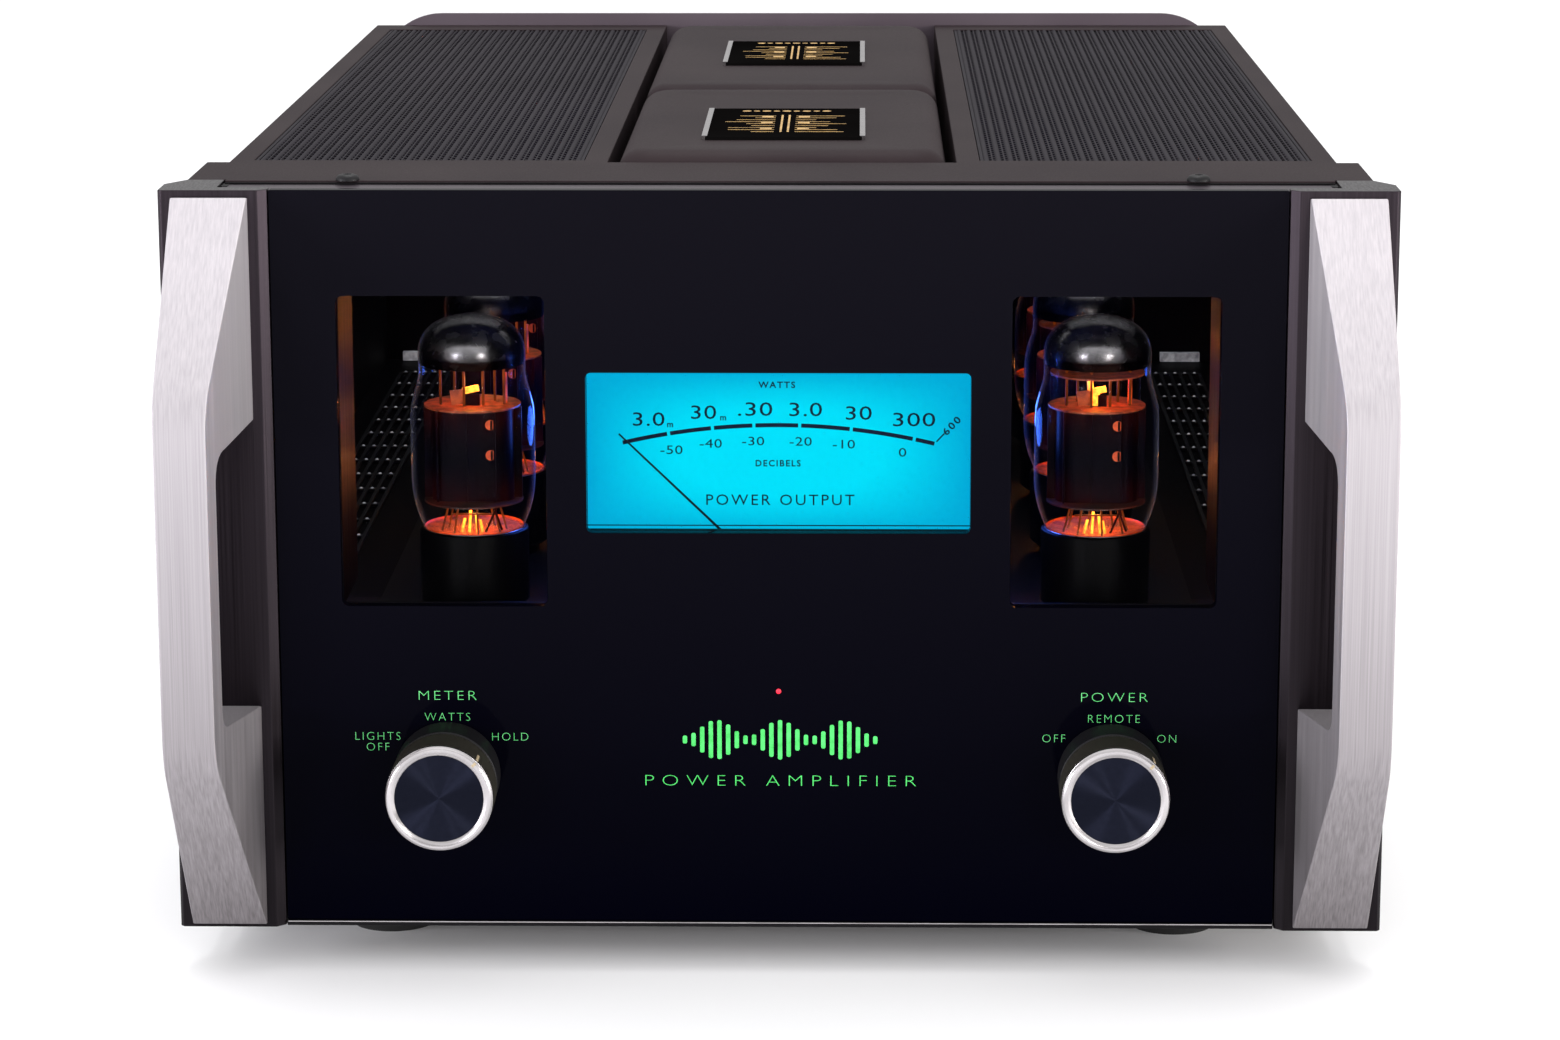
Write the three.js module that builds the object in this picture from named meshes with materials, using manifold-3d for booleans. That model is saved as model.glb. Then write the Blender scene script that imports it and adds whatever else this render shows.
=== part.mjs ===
// A valve power amplifier: glass front panel between two end caps with bar handles, a lit power
// meter, two rotary switches, eight power valves in two ventilated bays, and two transformers
// between them under deep-drawn covers.
//
// Millimetres, +X to the right seen from the front, +Y towards the rear, +Z up.
// The sub-parts are placed in the panel's frame: y = 0 at the glass front, z = 0 at the glass
// bottom. The group at the end moves that frame so that the origin is on the floor, at the middle
// of the whole amplifier.
import * as THREE from "three";
import { mergeVertices } from "three/addons/utils/BufferGeometryUtils.js";
import { RoundedBoxGeometry } from "three/addons/geometries/RoundedBoxGeometry.js";
import Module from "manifold-3d";

const wasm = await Module();
wasm.setup();

// ---- Driving dimensions -------------------------------------------------------------------------

const GAP = 0.3; // between neighbouring pieces
const PAST = 1; // how far a cutting tool runs past the face that it cuts
const SHEET = 2; // chassis and cover sheet

// Front panel
const CAP = {
  inner: 183.1, outer: 222.25, // the outer side is half the overall width
  front: -3, rear: 25,
  bottom: -2, top: 273.5,
  bevel: 3.2, // towards the glass
  chamfer: 1.2, // outer front edge
  shoulder: 13.4, // where the outer side starts to lean in to meet the shroud
};
const GLASS = { half: 182.8, top: 273.2, thick: 5 };
const RAIL = { front: GLASS.thick + 0.5, rear: 20.5, half: 201.5 };
const TOP_RAIL = { bottom: 262, top: CAP.top - 1.2 };
const BOTTOM_RAIL = { top: 10, lipFront: -0.8 };
const PANEL = { front: GLASS.thick + 1, rear: GLASS.thick + 1 + SHEET }; // backs the glass
const WINDOW = { inner: 84.4, outer: 159.6, bottom: 120, top: 234.7 };
const METER_WINDOW = { half: 69.75, bottom: 147.5, top: 206.7 };

// Handles, seen from the side
const HANDLE = {
  outer: 217.4, inner: 189.7, // across the foot of the handle
  bottom: -0.5, top: 270.9,
  front: -60, gripRear: -49.5,
  upperBend: 205, lowerBend: 77, // heights where the grip starts to slope back to the panel
  slope: 0.157, // how far the inner side leans outwards for each mm forward
};
const FINGER_GAP = {
  upper: { root: 189.7, grip: 186, fillet: 12 },
  lower: { root: 83, grip: 86, fillet: 8 },
};

// Meter
const METER_CASE = { half: 76, bottom: 116, top: 214, rear: 24, wall: 3, floor: 17 };
const METER_PIVOT = { z: 125.6, front: 9.2, radius: 1.5 };
const DIAL = { thick: 1.2, hole: 2.5 };
const NEEDLE = {
  length: 81.2, front: 11.4, rear: 12.2,
  rootHalf: 0.5, tipHalf: 0.25,
  hub: 4, hubProud: 1.2, bore: 2.1,
  rest: 46, // degrees left of upright
};
const LED = { z: 88.2, radius: 1.4, flange: 2.4, flangeThick: 1, hole: 1.9, rear: 15 };

// Rotary switches
const KNOB = {
  x: 122, z: 57, front: -36, rear: -0.8, radius: 19.6,
  skirtFront: -16, recess: 1.8, boreDepth: 12,
  mark: 45, // degrees clockwise from upright, at the right-hand position
  markHalf: 0.7,
};
const KNOB_BORE = KNOB.front + KNOB.boreDepth;
const INLAY = { radius: KNOB.radius - 3.8, front: KNOB.front + 0.4 };
const SHAFT = { radius: 3, rear: 20, glassHole: 6, panelHole: 5 };
const SWITCH = { can: 15, plateHalf: 17, plateThick: 2.5, rear: 28, bore: SHAFT.radius + 0.4 };

// Chassis, cages and covers
const BODY = { half: 208, front: 30, rear: 583 };
const SHROUD = { half: 215.5, front: CAP.rear + GAP, rear: 73 };
const DECK_Z = 106; // the deck that the valves and transformers stand on
const CAGE = { inner: 65.5, front: SHROUD.rear + GAP, top: 272.8 };
const GRILLE = {
  inner: 74.5, outer: 199.3, front: 84, rear: 563,
  thick: 1.2, sunk: 0.4, ribs: 26, slotHalf: 0.8, slotMargin: 6,
};
const COVER = { half: 62, top: 277, radius: 9, front: [75, 285], rear: [288, 548] };
const TRANSFORMER = {
  coreHalf: 50, coreHalfDepth: 55, coreHeight: 138,
  windingHalf: 32, windingInset: 14, windingBottom: 22, windingTop: 116,
};

// Valves
const VALVE_X = { left: -114.5, right: 117.5 };
const VALVE_SEAT = DECK_Z + 6;
const POWER_VALVE = {
  row: [42, 147, 252, 357], socket: 16,
  foot: 20, base: 20.4, baseTop: 141, bulbFoot: 18.3, bulb: 23.1, bulbBottom: 156, waist: 187,
  neck: 19.6, neckBottom: 199, domeBottom: 207, top: 221,
};
const DRIVER_VALVE = { row: [430, 490], socket: 10, bulb: 11, height: 56 };
const SOCKET_BOARD = { half: 38, front: 18, rear: 516, thick: 1.7 };

// Inside the chassis
const CIRCUIT_BOARD = { half: 150, front: 110, rear: 400, bottom: 40, thick: 1.6 };
const STANDOFF = { radius: 4, inset: 10 };
const RESERVOIR = { half: 140, front: 430, rear: 560, pitch: 70, can: 28, canTop: 92 };
const FLOOR_CLEARANCE = 0.1; // above the bottom cover's own gap

// Rear panel and connectors
const REAR = { top: 278.5, corner: 32, thick: 3 };
const REAR_FRONT = BODY.rear + GAP;
const REAR_FACE = REAR_FRONT + REAR.thick;
const MAINS = { x: -150, z: 50, half: 14, halfHeight: 10.5, depth: 22, flange: 25, flangeHeight: 14 };
const MAINS_SOCKET = { half: 11.5, halfHeight: 8, depth: 15 };
const BALANCED = { x: -26, z: 200, barrel: 11, depth: 18, flangeHalf: 13, flangeHeight: 15.5 };
const PHONO = { x: 22, z: 200, barrel: 4, depth: 12, flange: 6.5, length: 12 };
const TERMINAL = {
  x: 60, z: 60, pitch: 40, end: 625, post: 4, halfHeight: 18, face: REAR_FACE + 12,
};
const TERMINAL_PLACES = [-1.5, -0.5, 0.5, 1.5].map((step) => TERMINAL.x + step * TERMINAL.pitch);
const NUT = { bore: 4.5, radius: 9, clearance: 0.5, length: 13.5 };

const FOOT = { height: 20, radius: 18.5, flare: 1.5, x: 150, y: { front: 64.5, rear: 520 } };

// ---- Finishes -----------------------------------------------------------------------------------

const finish = (color, roughness, metalness) => ({ color, roughness, metalness });
const FINISHES = {
  blackGlass: finish(0x08080c, 0.05, 0),
  clearGlass: finish(0x9a6a45, 0.08, 0),
  brushedSilver: finish(0xd8d4d8, 0.35, 1),
  darkAnodised: finish(0x4a434c, 0.4, 1),
  satinGrey: finish(0x4c4748, 0.45, 0.3),
  steel: finish(0x8a8c90, 0.4, 1),
  blackPlastic: finish(0x141416, 0.5, 0),
  rubber: finish(0x101010, 0.85, 0),
  dialBlue: finish(0x00bfe8, 0.5, 0),
  needle: finish(0x0b0b0d, 0.4, 0),
  red: finish(0xd01020, 0.3, 0),
  laminations: finish(0x3c3a3c, 0.6, 0.8),
  circuitBoard: finish(0x1d4a2a, 0.55, 0),
  gold: finish(0xc9a44a, 0.25, 1),
};

// ---- Geometry helpers ---------------------------------------------------------------------------

const X_AXIS = new THREE.Vector3(1, 0, 0);
const Y_AXIS = new THREE.Vector3(0, 1, 0);
const Z_AXIS = new THREE.Vector3(0, 0, 1);
const { degToRad } = THREE.MathUtils;

function block([x0, x1], [y0, y1], [z0, z1]) {
  const box = new THREE.BoxGeometry(x1 - x0, y1 - y0, z1 - z0);
  return box.translate((x0 + x1) / 2, (y0 + y1) / 2, (z0 + z1) / 2);
}

// A shape drawn in (y, z), extruded across from x0 to x1.
function acrossX(shape, x0, x1) {
  const body = new THREE.ExtrudeGeometry(shape, { depth: x1 - x0, bevelEnabled: false, curveSegments: 6 });
  return body.applyMatrix4(new THREE.Matrix4().makeBasis(Y_AXIS, Z_AXIS, X_AXIS)).translate(x0, 0, 0);
}

// A shape drawn in (x, z), extruded from the front y0 to the rear y1.
function alongY(shape, y0, y1) {
  const body = new THREE.ExtrudeGeometry(shape, { depth: y1 - y0, bevelEnabled: false, curveSegments: 8 });
  const basis = new THREE.Matrix4().makeBasis(X_AXIS, Z_AXIS, Y_AXIS.clone().negate());
  return body.applyMatrix4(basis).translate(0, y1, 0);
}

// A profile of [radius, distance] points turned about an axis through (x, y) or (x, z).
function turned(profile, segments) {
  return new THREE.LatheGeometry(profile.map(([r, d]) => new THREE.Vector2(r, d)), segments);
}
const turnedUpright = (profile, x, y, segments) =>
  turned(profile, segments).rotateX(Math.PI / 2).scale(1, -1, 1).translate(x, y, 0);
const turnedForward = (profile, x, z, segments) => turned(profile, segments).translate(x, 0, z);
const rod = (radius, y0, y1, x, z, segments = 16) =>
  turnedForward([[0, y0], [radius, y0], [radius, y1], [0, y1]], x, z, segments);
const post = (radius, z0, z1, x, y, segments = 16) =>
  turnedUpright([[0, z0], [radius, z0], [radius, z1], [0, z1]], x, y, segments);

function solid(geometry) {
  const plain = geometry.index ? geometry.toNonIndexed() : geometry.clone();
  plain.deleteAttribute("normal");
  plain.deleteAttribute("uv");
  const merged = mergeVertices(plain, 1e-3);
  const vertProperties = merged.attributes.position.array;
  const build = (triVerts) =>
    new wasm.Manifold(new wasm.Mesh({ numProp: 3, vertProperties, triVerts }));
  const triangles = new Uint32Array(merged.index.array);
  const made = build(triangles);
  return made.volume() > 0 ? made : build(triangles.reverse());
}

function geometryOf(manifold) {
  const mesh = manifold.getMesh();
  const geometry = new THREE.BufferGeometry();
  geometry.setAttribute("position", new THREE.BufferAttribute(mesh.vertProperties, 3));
  geometry.setIndex(new THREE.BufferAttribute(mesh.triVerts, 1));
  return geometry;
}

const join = (...pieces) => geometryOf(pieces.map(solid).reduce((all, piece) => all.add(piece)));
const cut = (body, ...tools) =>
  geometryOf(tools.map(solid).reduce((left, tool) => left.subtract(tool), solid(body)));

function part(name, geometry, look) {
  const body = geometryOf(solid(geometry));
  body.computeVertexNormals();
  const mesh = new THREE.Mesh(body, new THREE.MeshStandardMaterial({ ...look, name }));
  mesh.name = name;
  return mesh;
}

const SIDES = [["left", -1], ["right", 1]];
const span = (side, near, far) => (side < 0 ? [-far, -near] : [near, far]);
const around = (middle, half) => [middle - half, middle + half];

// ---- Front panel --------------------------------------------------------------------------------

function frontGlass() {
  const plate = block([-GLASS.half, GLASS.half], [0, GLASS.thick], [0, GLASS.top]);
  const holes = SIDES.map(([, side]) =>
    rod(SHAFT.glassHole, -PAST, GLASS.thick + PAST, side * KNOB.x, KNOB.z));
  return part("front_glass", cut(plate, ...holes), FINISHES.blackGlass);
}

function backingPanel() {
  const through = [PANEL.front - PAST, PANEL.rear + PAST];
  const height = [BOTTOM_RAIL.top + 1, TOP_RAIL.bottom - 1];
  const plate = block([-GLASS.half, GLASS.half], [PANEL.front, PANEL.rear], height);
  const windows = SIDES.map(([, side]) =>
    block(span(side, WINDOW.inner, WINDOW.outer), through, [WINDOW.bottom, WINDOW.top]));
  const { half, bottom, top } = METER_WINDOW;
  const meter = block([-half, half], through, [bottom, top]);
  const shafts = SIDES.map(([, side]) => rod(SHAFT.panelHole, ...through, side * KNOB.x, KNOB.z));
  const led = rod(LED.hole, ...through, 0, LED.z, 12);
  return part("front_backing_panel", cut(plate, ...windows, meter, ...shafts, led), FINISHES.steel);
}

// The cap's plan section has a bevel towards the glass and a small chamfer on its outer edge, and
// its outer side leans in towards the rear. Its top is stepped for the end of the top rail.
function endCap([word, side]) {
  const outline = new THREE.Shape();
  outline.moveTo(CAP.inner, CAP.rear);
  outline.lineTo(CAP.inner, 0);
  outline.lineTo(CAP.inner + CAP.bevel, CAP.front);
  outline.lineTo(CAP.outer - CAP.chamfer, CAP.front);
  outline.lineTo(CAP.outer, CAP.front + CAP.chamfer);
  outline.lineTo(CAP.outer, CAP.shoulder);
  outline.lineTo(SHROUD.half, CAP.rear);
  const body = new THREE.ExtrudeGeometry(outline, { depth: CAP.top - CAP.bottom, bevelEnabled: false });
  body.translate(0, 0, CAP.bottom);
  const railEnd = block([CAP.inner - PAST, RAIL.half + 0.5], [RAIL.front - 0.5, CAP.rear + PAST],
    [TOP_RAIL.bottom - GAP, CAP.top + PAST]);
  const shaped = cut(body, railEnd).scale(side, 1, 1);
  return part(`end_cap_${word}`, shaped, FINISHES.darkAnodised);
}

// Side view of the handle: sloping ends and an upright grip.
function handleOutline() {
  const root = CAP.front - GAP;
  const { front, bottom, top, upperBend, lowerBend } = HANDLE;
  const outline = new THREE.Shape();
  outline.moveTo(root, bottom);
  outline.lineTo(root, top);
  outline.lineTo(root - 1.5, top);
  outline.lineTo(front + 6.5, upperBend + 7.5);
  outline.quadraticCurveTo(front, upperBend, front, upperBend - 10);
  outline.lineTo(front, lowerBend + 10);
  outline.quadraticCurveTo(front, lowerBend, front + 5.5, lowerBend - 8);
  outline.lineTo(root - 1, bottom);
  return outline;
}

// The gap is open to the panel, so the handle is two posts joined by the grip.
function fingerGap() {
  const root = CAP.front + PAST;
  const rear = HANDLE.gripRear;
  const { upper, lower } = FINGER_GAP;
  const gap = new THREE.Shape();
  gap.moveTo(root, lower.root);
  gap.lineTo(rear + lower.fillet, lower.grip);
  gap.quadraticCurveTo(rear, lower.grip, rear, lower.grip + lower.fillet);
  gap.lineTo(rear, upper.grip - upper.fillet);
  gap.quadraticCurveTo(rear, upper.grip, rear + upper.fillet, upper.grip);
  gap.lineTo(root, upper.root);
  return gap;
}

function handle([word, side]) {
  const body = acrossX(handleOutline(), HANDLE.inner, HANDLE.outer);
  const place = body.attributes.position;
  const middle = (HANDLE.inner + HANDLE.outer) / 2;
  for (let i = 0; i < place.count; i++) {
    const forward = CAP.front - place.getY(i);
    if (place.getX(i) < middle) place.setX(i, HANDLE.inner + HANDLE.slope * forward);
  }
  const gap = acrossX(fingerGap(), HANDLE.inner - PAST, HANDLE.outer + PAST);
  return part(`handle_${word}`, cut(body, gap).scale(side, 1, 1), FINISHES.brushedSilver);
}

function topRail() {
  const height = [TOP_RAIL.bottom, TOP_RAIL.top];
  const bar = block([-RAIL.half, RAIL.half], [RAIL.front, RAIL.rear], height);
  return part("top_rail", bar, FINISHES.darkAnodised);
}

// The bottom rail has a lip under the glass.
function bottomRail() {
  const across = [-GLASS.half, GLASS.half];
  const bar = block(across, [RAIL.front, RAIL.rear], [CAP.bottom, BOTTOM_RAIL.top]);
  const lip = block(across, [BOTTOM_RAIL.lipFront, RAIL.front + 1], [CAP.bottom, -GAP]);
  return part("bottom_rail", join(bar, lip), FINISHES.darkAnodised);
}

// The folded sheet behind the front panel: two sides, a top, and a tongue up to the top rail.
function frontShroud() {
  const { half, front, rear } = SHROUD;
  const outer = block([-half, half], [front, rear], [0, CAP.top]);
  const inner = block([SHEET - half, half - SHEET], [front - PAST, rear + PAST],
    [-PAST, CAP.top - SHEET]);
  const tongue = block([-RAIL.half, RAIL.half], [RAIL.rear + 2, CAP.rear + 1],
    [CAP.top - SHEET, CAP.top]);
  return part("front_shroud", join(cut(outer, inner), tongue), FINISHES.satinGrey);
}

// ---- Meter --------------------------------------------------------------------------------------

function meterCase() {
  const { half, bottom, top, rear, wall, floor } = METER_CASE;
  const box = block([-half, half], [PANEL.rear + GAP, rear], [bottom, top]);
  const recess = block([wall - half, half - wall], [0, floor], [bottom + wall, top - wall]);
  const pivot = rod(METER_PIVOT.radius, METER_PIVOT.front, floor + 1, 0, METER_PIVOT.z, 12);
  return part("meter_case", join(cut(box, recess), pivot), FINISHES.blackPlastic);
}

function meterDial() {
  const { half, bottom, top, wall, floor } = METER_CASE;
  const edge = wall + GAP;
  const plate = block([edge - half, half - edge], [floor - GAP - DIAL.thick, floor - GAP],
    [bottom + edge, top - edge]);
  const hole = rod(DIAL.hole, 0, floor + PAST, 0, METER_PIVOT.z, 12);
  return part("meter_dial", cut(plate, hole), FINISHES.dialBlue);
}

// Drawn upright about its pivot, then leant over to its rest.
function meterNeedle() {
  const { length, front, rear, rootHalf, tipHalf, hub, hubProud, bore, rest } = NEEDLE;
  const corners = [[-rootHalf, 0], [-tipHalf, length], [tipHalf, length], [rootHalf, 0]];
  const blade = new THREE.Shape(corners.map(([x, z]) => new THREE.Vector2(x, z)));
  const boss = rod(hub, front - hubProud, rear + hubProud, 0, 0);
  const body = cut(join(alongY(blade, front, rear), boss), rod(bore, 0, METER_CASE.floor, 0, 0, 12));
  body.rotateY(degToRad(-rest)).translate(0, 0, METER_PIVOT.z);
  return part("meter_needle", body, FINISHES.needle);
}

function statusLed() {
  const { z, radius, flange, flangeThick, rear } = LED;
  const nose = GLASS.thick + GAP;
  const flangeFront = PANEL.rear + GAP;
  const flangeRear = flangeFront + flangeThick;
  const profile = [[0, nose], [radius, nose], [radius, flangeFront], [flange, flangeFront],
    [flange, flangeRear], [radius, flangeRear], [radius, rear], [0, rear]];
  return part("status_led", turnedForward(profile, 0, z, 12), FINISHES.red);
}

// ---- Rotary switches and knobs ------------------------------------------------------------------

// A plain skirt, a groove, a grip band, and a bright rim round the inlay's recess.
function knob(name, x) {
  const { radius, front, rear, skirtFront, recess, markHalf, mark, z } = KNOB;
  const bore = SHAFT.radius + 0.2;
  const floor = front + recess;
  const skirt = radius - 0.3;
  const groove = radius - 1.3;
  const profile = [[0, KNOB_BORE], [bore, KNOB_BORE], [bore, rear], [skirt, rear],
    [skirt, skirtFront], [groove, skirtFront - 0.4], [groove, skirtFront - 1.4],
    [radius, skirtFront - 1.8], [radius, front + 2.5], [radius - 1, front], [radius - 2.6, front],
    [radius - 3.4, floor], [0, floor]];
  const body = turnedForward(profile, 0, 0, 32);
  const notch = block([-markHalf, markHalf], [front - PAST, skirtFront - 2], [radius - 0.8, radius + 2]);
  notch.rotateY(degToRad(mark));
  return part(name, cut(body, notch).translate(x, 0, z), FINISHES.brushedSilver);
}

function knobInlay(name, x) {
  const disc = rod(INLAY.radius, INLAY.front, KNOB.front + KNOB.recess - GAP, x, KNOB.z, 32);
  return part(name, disc, FINISHES.darkAnodised);
}

function switchShaft(name, x) {
  return part(name, rod(SHAFT.radius, KNOB_BORE + GAP, SHAFT.rear, x, KNOB.z, 12), FINISHES.steel);
}

function rotarySwitch(name, x) {
  const { can, plateHalf, plateThick, rear, bore } = SWITCH;
  const front = PANEL.rear + GAP;
  const body = rod(can, front + 2, rear, x, KNOB.z, 20);
  const plate = block(around(x, plateHalf), [front, front + plateThick], around(KNOB.z, plateHalf));
  const hole = rod(bore, 0, SHAFT.rear + PAST, x, KNOB.z, 12);
  return part(name, cut(join(body, plate), hole), FINISHES.steel);
}

const controls = [["meter", -KNOB.x], ["power", KNOB.x]].flatMap(([word, x]) => [
  knob(`${word}_knob`, x),
  knobInlay(`${word}_knob_inlay`, x),
  switchShaft(`${word}_switch_shaft`, x),
  rotarySwitch(`${word}_switch`, x),
]);

// ---- Chassis, cages and transformer covers ------------------------------------------------------

// The pan is open below, under the bottom cover, and behind, at the rear panel.
function chassisPan() {
  const { half, front, rear } = BODY;
  const outer = block([-half, half], [front, rear], [0, DECK_Z]);
  const inner = block([SHEET - half, half - SHEET], [front + SHEET, rear + PAST],
    [-PAST, DECK_Z - SHEET]);
  return part("chassis_pan", cut(outer, inner), FINISHES.satinGrey);
}

function bottomCover() {
  const plate = block([-BODY.half, BODY.half], [BODY.front, BODY.rear], [CAP.bottom, -GAP]);
  return part("bottom_cover", plate, FINISHES.satinGrey);
}

// Each cage has an outer and an inner wall, a rear wall, and a top frame round the grille.
function valveCage([word, side]) {
  const { inner, front, top } = CAGE;
  const shell = block(span(side, inner, BODY.half), [front, BODY.rear], [DECK_Z + GAP, top]);
  const hollow = block(span(side, inner + SHEET, BODY.half - SHEET),
    [front - PAST, BODY.rear - SHEET], [0, top - SHEET]);
  const opening = block(span(side, GRILLE.inner, GRILLE.outer), [GRILLE.front, GRILLE.rear],
    [top - SHEET - PAST, top + PAST]);
  return part(`valve_cage_${word}`, cut(shell, hollow, opening), FINISHES.satinGrey);
}

function cageGrille([word, side]) {
  const { inner, outer, front, rear, thick, sunk, ribs, slotHalf, slotMargin } = GRILLE;
  const top = CAGE.top - sunk;
  const sheet = block(span(side, inner + GAP, outer - GAP), [front + GAP, rear - GAP],
    [top - thick, top]);
  const pitch = (outer - inner) / ribs;
  const slots = Array.from({ length: ribs - 1 }, (_, i) =>
    block(around(side * (inner + (i + 1) * pitch), slotHalf),
      [front + slotMargin, rear - slotMargin], [top - thick - PAST, top + PAST]));
  return part(`cage_grille_${word}`, cut(sheet, ...slots), FINISHES.satinGrey);
}

// The upper half of a rounded box, hollow and open below.
function transformerCover(name, [front, rear]) {
  const height = COVER.top - DECK_Z;
  const shell = (inset) => {
    const body = new RoundedBoxGeometry(2 * (COVER.half - inset), rear - front - 2 * inset,
      2 * (height - inset), 3, COVER.radius - inset);
    return body.translate(0, (front + rear) / 2, DECK_Z);
  };
  const below = block(around(0, COVER.half + PAST), [front - PAST, rear + PAST],
    [DECK_Z - height - PAST, DECK_Z + GAP]);
  return part(name, cut(shell(0), shell(SHEET), below), FINISHES.satinGrey);
}

// A laminated core with its winding showing front and rear of the core.
function transformer(name, [front, rear]) {
  const { coreHalf, coreHalfDepth, coreHeight } = TRANSFORMER;
  const { windingHalf, windingInset, windingBottom, windingTop } = TRANSFORMER;
  const seat = DECK_Z + GAP;
  const core = block([-coreHalf, coreHalf], around((front + rear) / 2, coreHalfDepth),
    [seat, seat + coreHeight]);
  const winding = block([-windingHalf, windingHalf], [front + windingInset, rear - windingInset],
    [seat + windingBottom, seat + windingTop]);
  return part(name, join(core, winding), FINISHES.laminations);
}

function rearPanel() {
  const { top, corner } = REAR;
  const side = BODY.half;
  const panel = new THREE.Shape();
  panel.moveTo(-side, CAP.bottom);
  panel.lineTo(side, CAP.bottom);
  panel.lineTo(side, top - corner);
  panel.absarc(side - corner, top - corner, corner, 0, Math.PI / 2);
  panel.absarc(corner - side, top - corner, corner, Math.PI / 2, Math.PI);
  const through = [REAR_FRONT - PAST, REAR_FACE + PAST];
  const inlet = block(around(MAINS.x, MAINS.half + GAP), through,
    around(MAINS.z, MAINS.halfHeight + GAP));
  const jacks = [BALANCED, PHONO].map(({ barrel, x, z }) => rod(barrel + GAP, ...through, x, z));
  const plate = cut(alongY(panel, REAR_FRONT, REAR_FACE), inlet, ...jacks);
  return part("rear_panel", plate, FINISHES.satinGrey);
}

// ---- Valves -------------------------------------------------------------------------------------

// Black base, waisted bulb and flattened dome.
function powerValve(name, x, y) {
  const { foot, base, baseTop, bulbFoot, bulb, bulbBottom, waist } = POWER_VALVE;
  const { neck, neckBottom, domeBottom, top } = POWER_VALVE;
  const rise = top - domeBottom;
  const dome = [0.92, 0.75, 0.45].map((share) =>
    [neck * share, domeBottom + rise * Math.sqrt(1 - share ** 2)]);
  const profile = [[0, VALVE_SEAT], [foot, VALVE_SEAT], [base, VALVE_SEAT + 2], [base, baseTop],
    [bulbFoot, baseTop + 0.5], [bulb, bulbBottom], [bulb, waist], [neck, neckBottom],
    [neck, domeBottom], ...dome, [0, top]];
  return part(name, turnedUpright(profile, x, y, 16), FINISHES.clearGlass);
}

// A small all-glass valve with a pip on its top.
function driverValve(name, x, y) {
  const { bulb, height } = DRIVER_VALVE;
  const top = VALVE_SEAT + height;
  const profile = [[0, VALVE_SEAT], [bulb - 1, VALVE_SEAT], [bulb, VALVE_SEAT + 3], [bulb, top - 12],
    [bulb - 4, top - 7], [2, top - 6], [0, top]];
  return part(name, turnedUpright(profile, x, y, 12), FINISHES.clearGlass);
}

// The board is one row of ceramic sockets on a common strip.
function valveBoard([word]) {
  const { half, front, rear, thick } = SOCKET_BOARD;
  const x = VALVE_X[word];
  const bottom = DECK_Z + GAP;
  const strip = block(around(x, half), [front, rear], [bottom, bottom + thick]);
  const sockets = [[POWER_VALVE, 16], [DRIVER_VALVE, 12]].flatMap(([{ row, socket }, segments]) =>
    row.map((y) => post(socket, bottom + thick / 2, VALVE_SEAT - GAP, x, y, segments)));
  return part(`valve_socket_board_${word}`, join(strip, ...sockets), FINISHES.circuitBoard);
}

const valves = SIDES.flatMap(([word]) => [
  ...POWER_VALVE.row.map((y, i) => powerValve(`power_valve_${word}_${i + 1}`, VALVE_X[word], y)),
  ...DRIVER_VALVE.row.map((y, i) => driverValve(`driver_valve_${word}_${i + 1}`, VALVE_X[word], y)),
]);

// ---- Inside the chassis -------------------------------------------------------------------------

// The driver board on its four standoffs, with a row of relays and a row of coils.
function circuitBoard() {
  const { half, front, rear, bottom, thick } = CIRCUIT_BOARD;
  const { radius, inset } = STANDOFF;
  const board = block([-half, half], [front, rear], [bottom, bottom + thick]);
  const components = [-110, -60, -10, 40, 90].flatMap((x) => [
    block([x, x + 26], [150, 190], [bottom + 1, bottom + 22]),
    block([x, x + 14], [250, 300], [bottom + 1, bottom + 14]),
  ]);
  const standoffs = [inset - half, half - inset].flatMap((x) => [front + inset, rear - inset]
    .map((y) => post(radius, FLOOR_CLEARANCE, bottom + 0.5, x, y, 8)));
  return part("driver_circuit_board", join(board, ...components, ...standoffs), FINISHES.circuitBoard);
}

function capacitorBank() {
  const { half, front, rear, pitch, can, canTop } = RESERVOIR;
  const tray = block([-half, half], [front, rear], [FLOOR_CLEARANCE, 4]);
  const cans = [-1.5, -0.5, 0.5, 1.5].map((step) =>
    post(can, 3, canTop, step * pitch, (front + rear) / 2, 20));
  return part("reservoir_capacitors", join(tray, ...cans), FINISHES.blackPlastic);
}

// ---- Rear connectors ----------------------------------------------------------------------------

function mainsInlet() {
  const { x, z, half, halfHeight, depth, flange, flangeHeight } = MAINS;
  const housing = block(around(x, half), [BODY.rear - depth, REAR_FACE + 1], around(z, halfHeight));
  const plate = block(around(x, flange), [REAR_FACE + GAP, REAR_FACE + 3], around(z, flangeHeight));
  const recess = block(around(x, MAINS_SOCKET.half), [REAR_FACE - MAINS_SOCKET.depth, REAR_FACE + 4],
    around(z, MAINS_SOCKET.halfHeight));
  return part("mains_inlet", cut(join(housing, plate), recess), FINISHES.blackPlastic);
}

// A three-pin socket: the holes stand in a ring about the axis.
function balancedInput() {
  const { x, z, barrel, depth, flangeHalf, flangeHeight } = BALANCED;
  const body = rod(barrel, BODY.rear - depth, REAR_FACE + 1, x, z, 20);
  const flange = block(around(x, flangeHalf), [REAR_FACE + GAP, REAR_FACE + 2.5],
    around(z, flangeHeight));
  const ring = 5;
  const sockets = [90, 210, 330].map(degToRad).map((angle) =>
    rod(1.4, REAR_FACE - 8, REAR_FACE + 4, x + ring * Math.cos(angle), z + ring * Math.sin(angle), 8));
  return part("balanced_input", cut(join(body, flange), ...sockets), FINISHES.steel);
}

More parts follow.
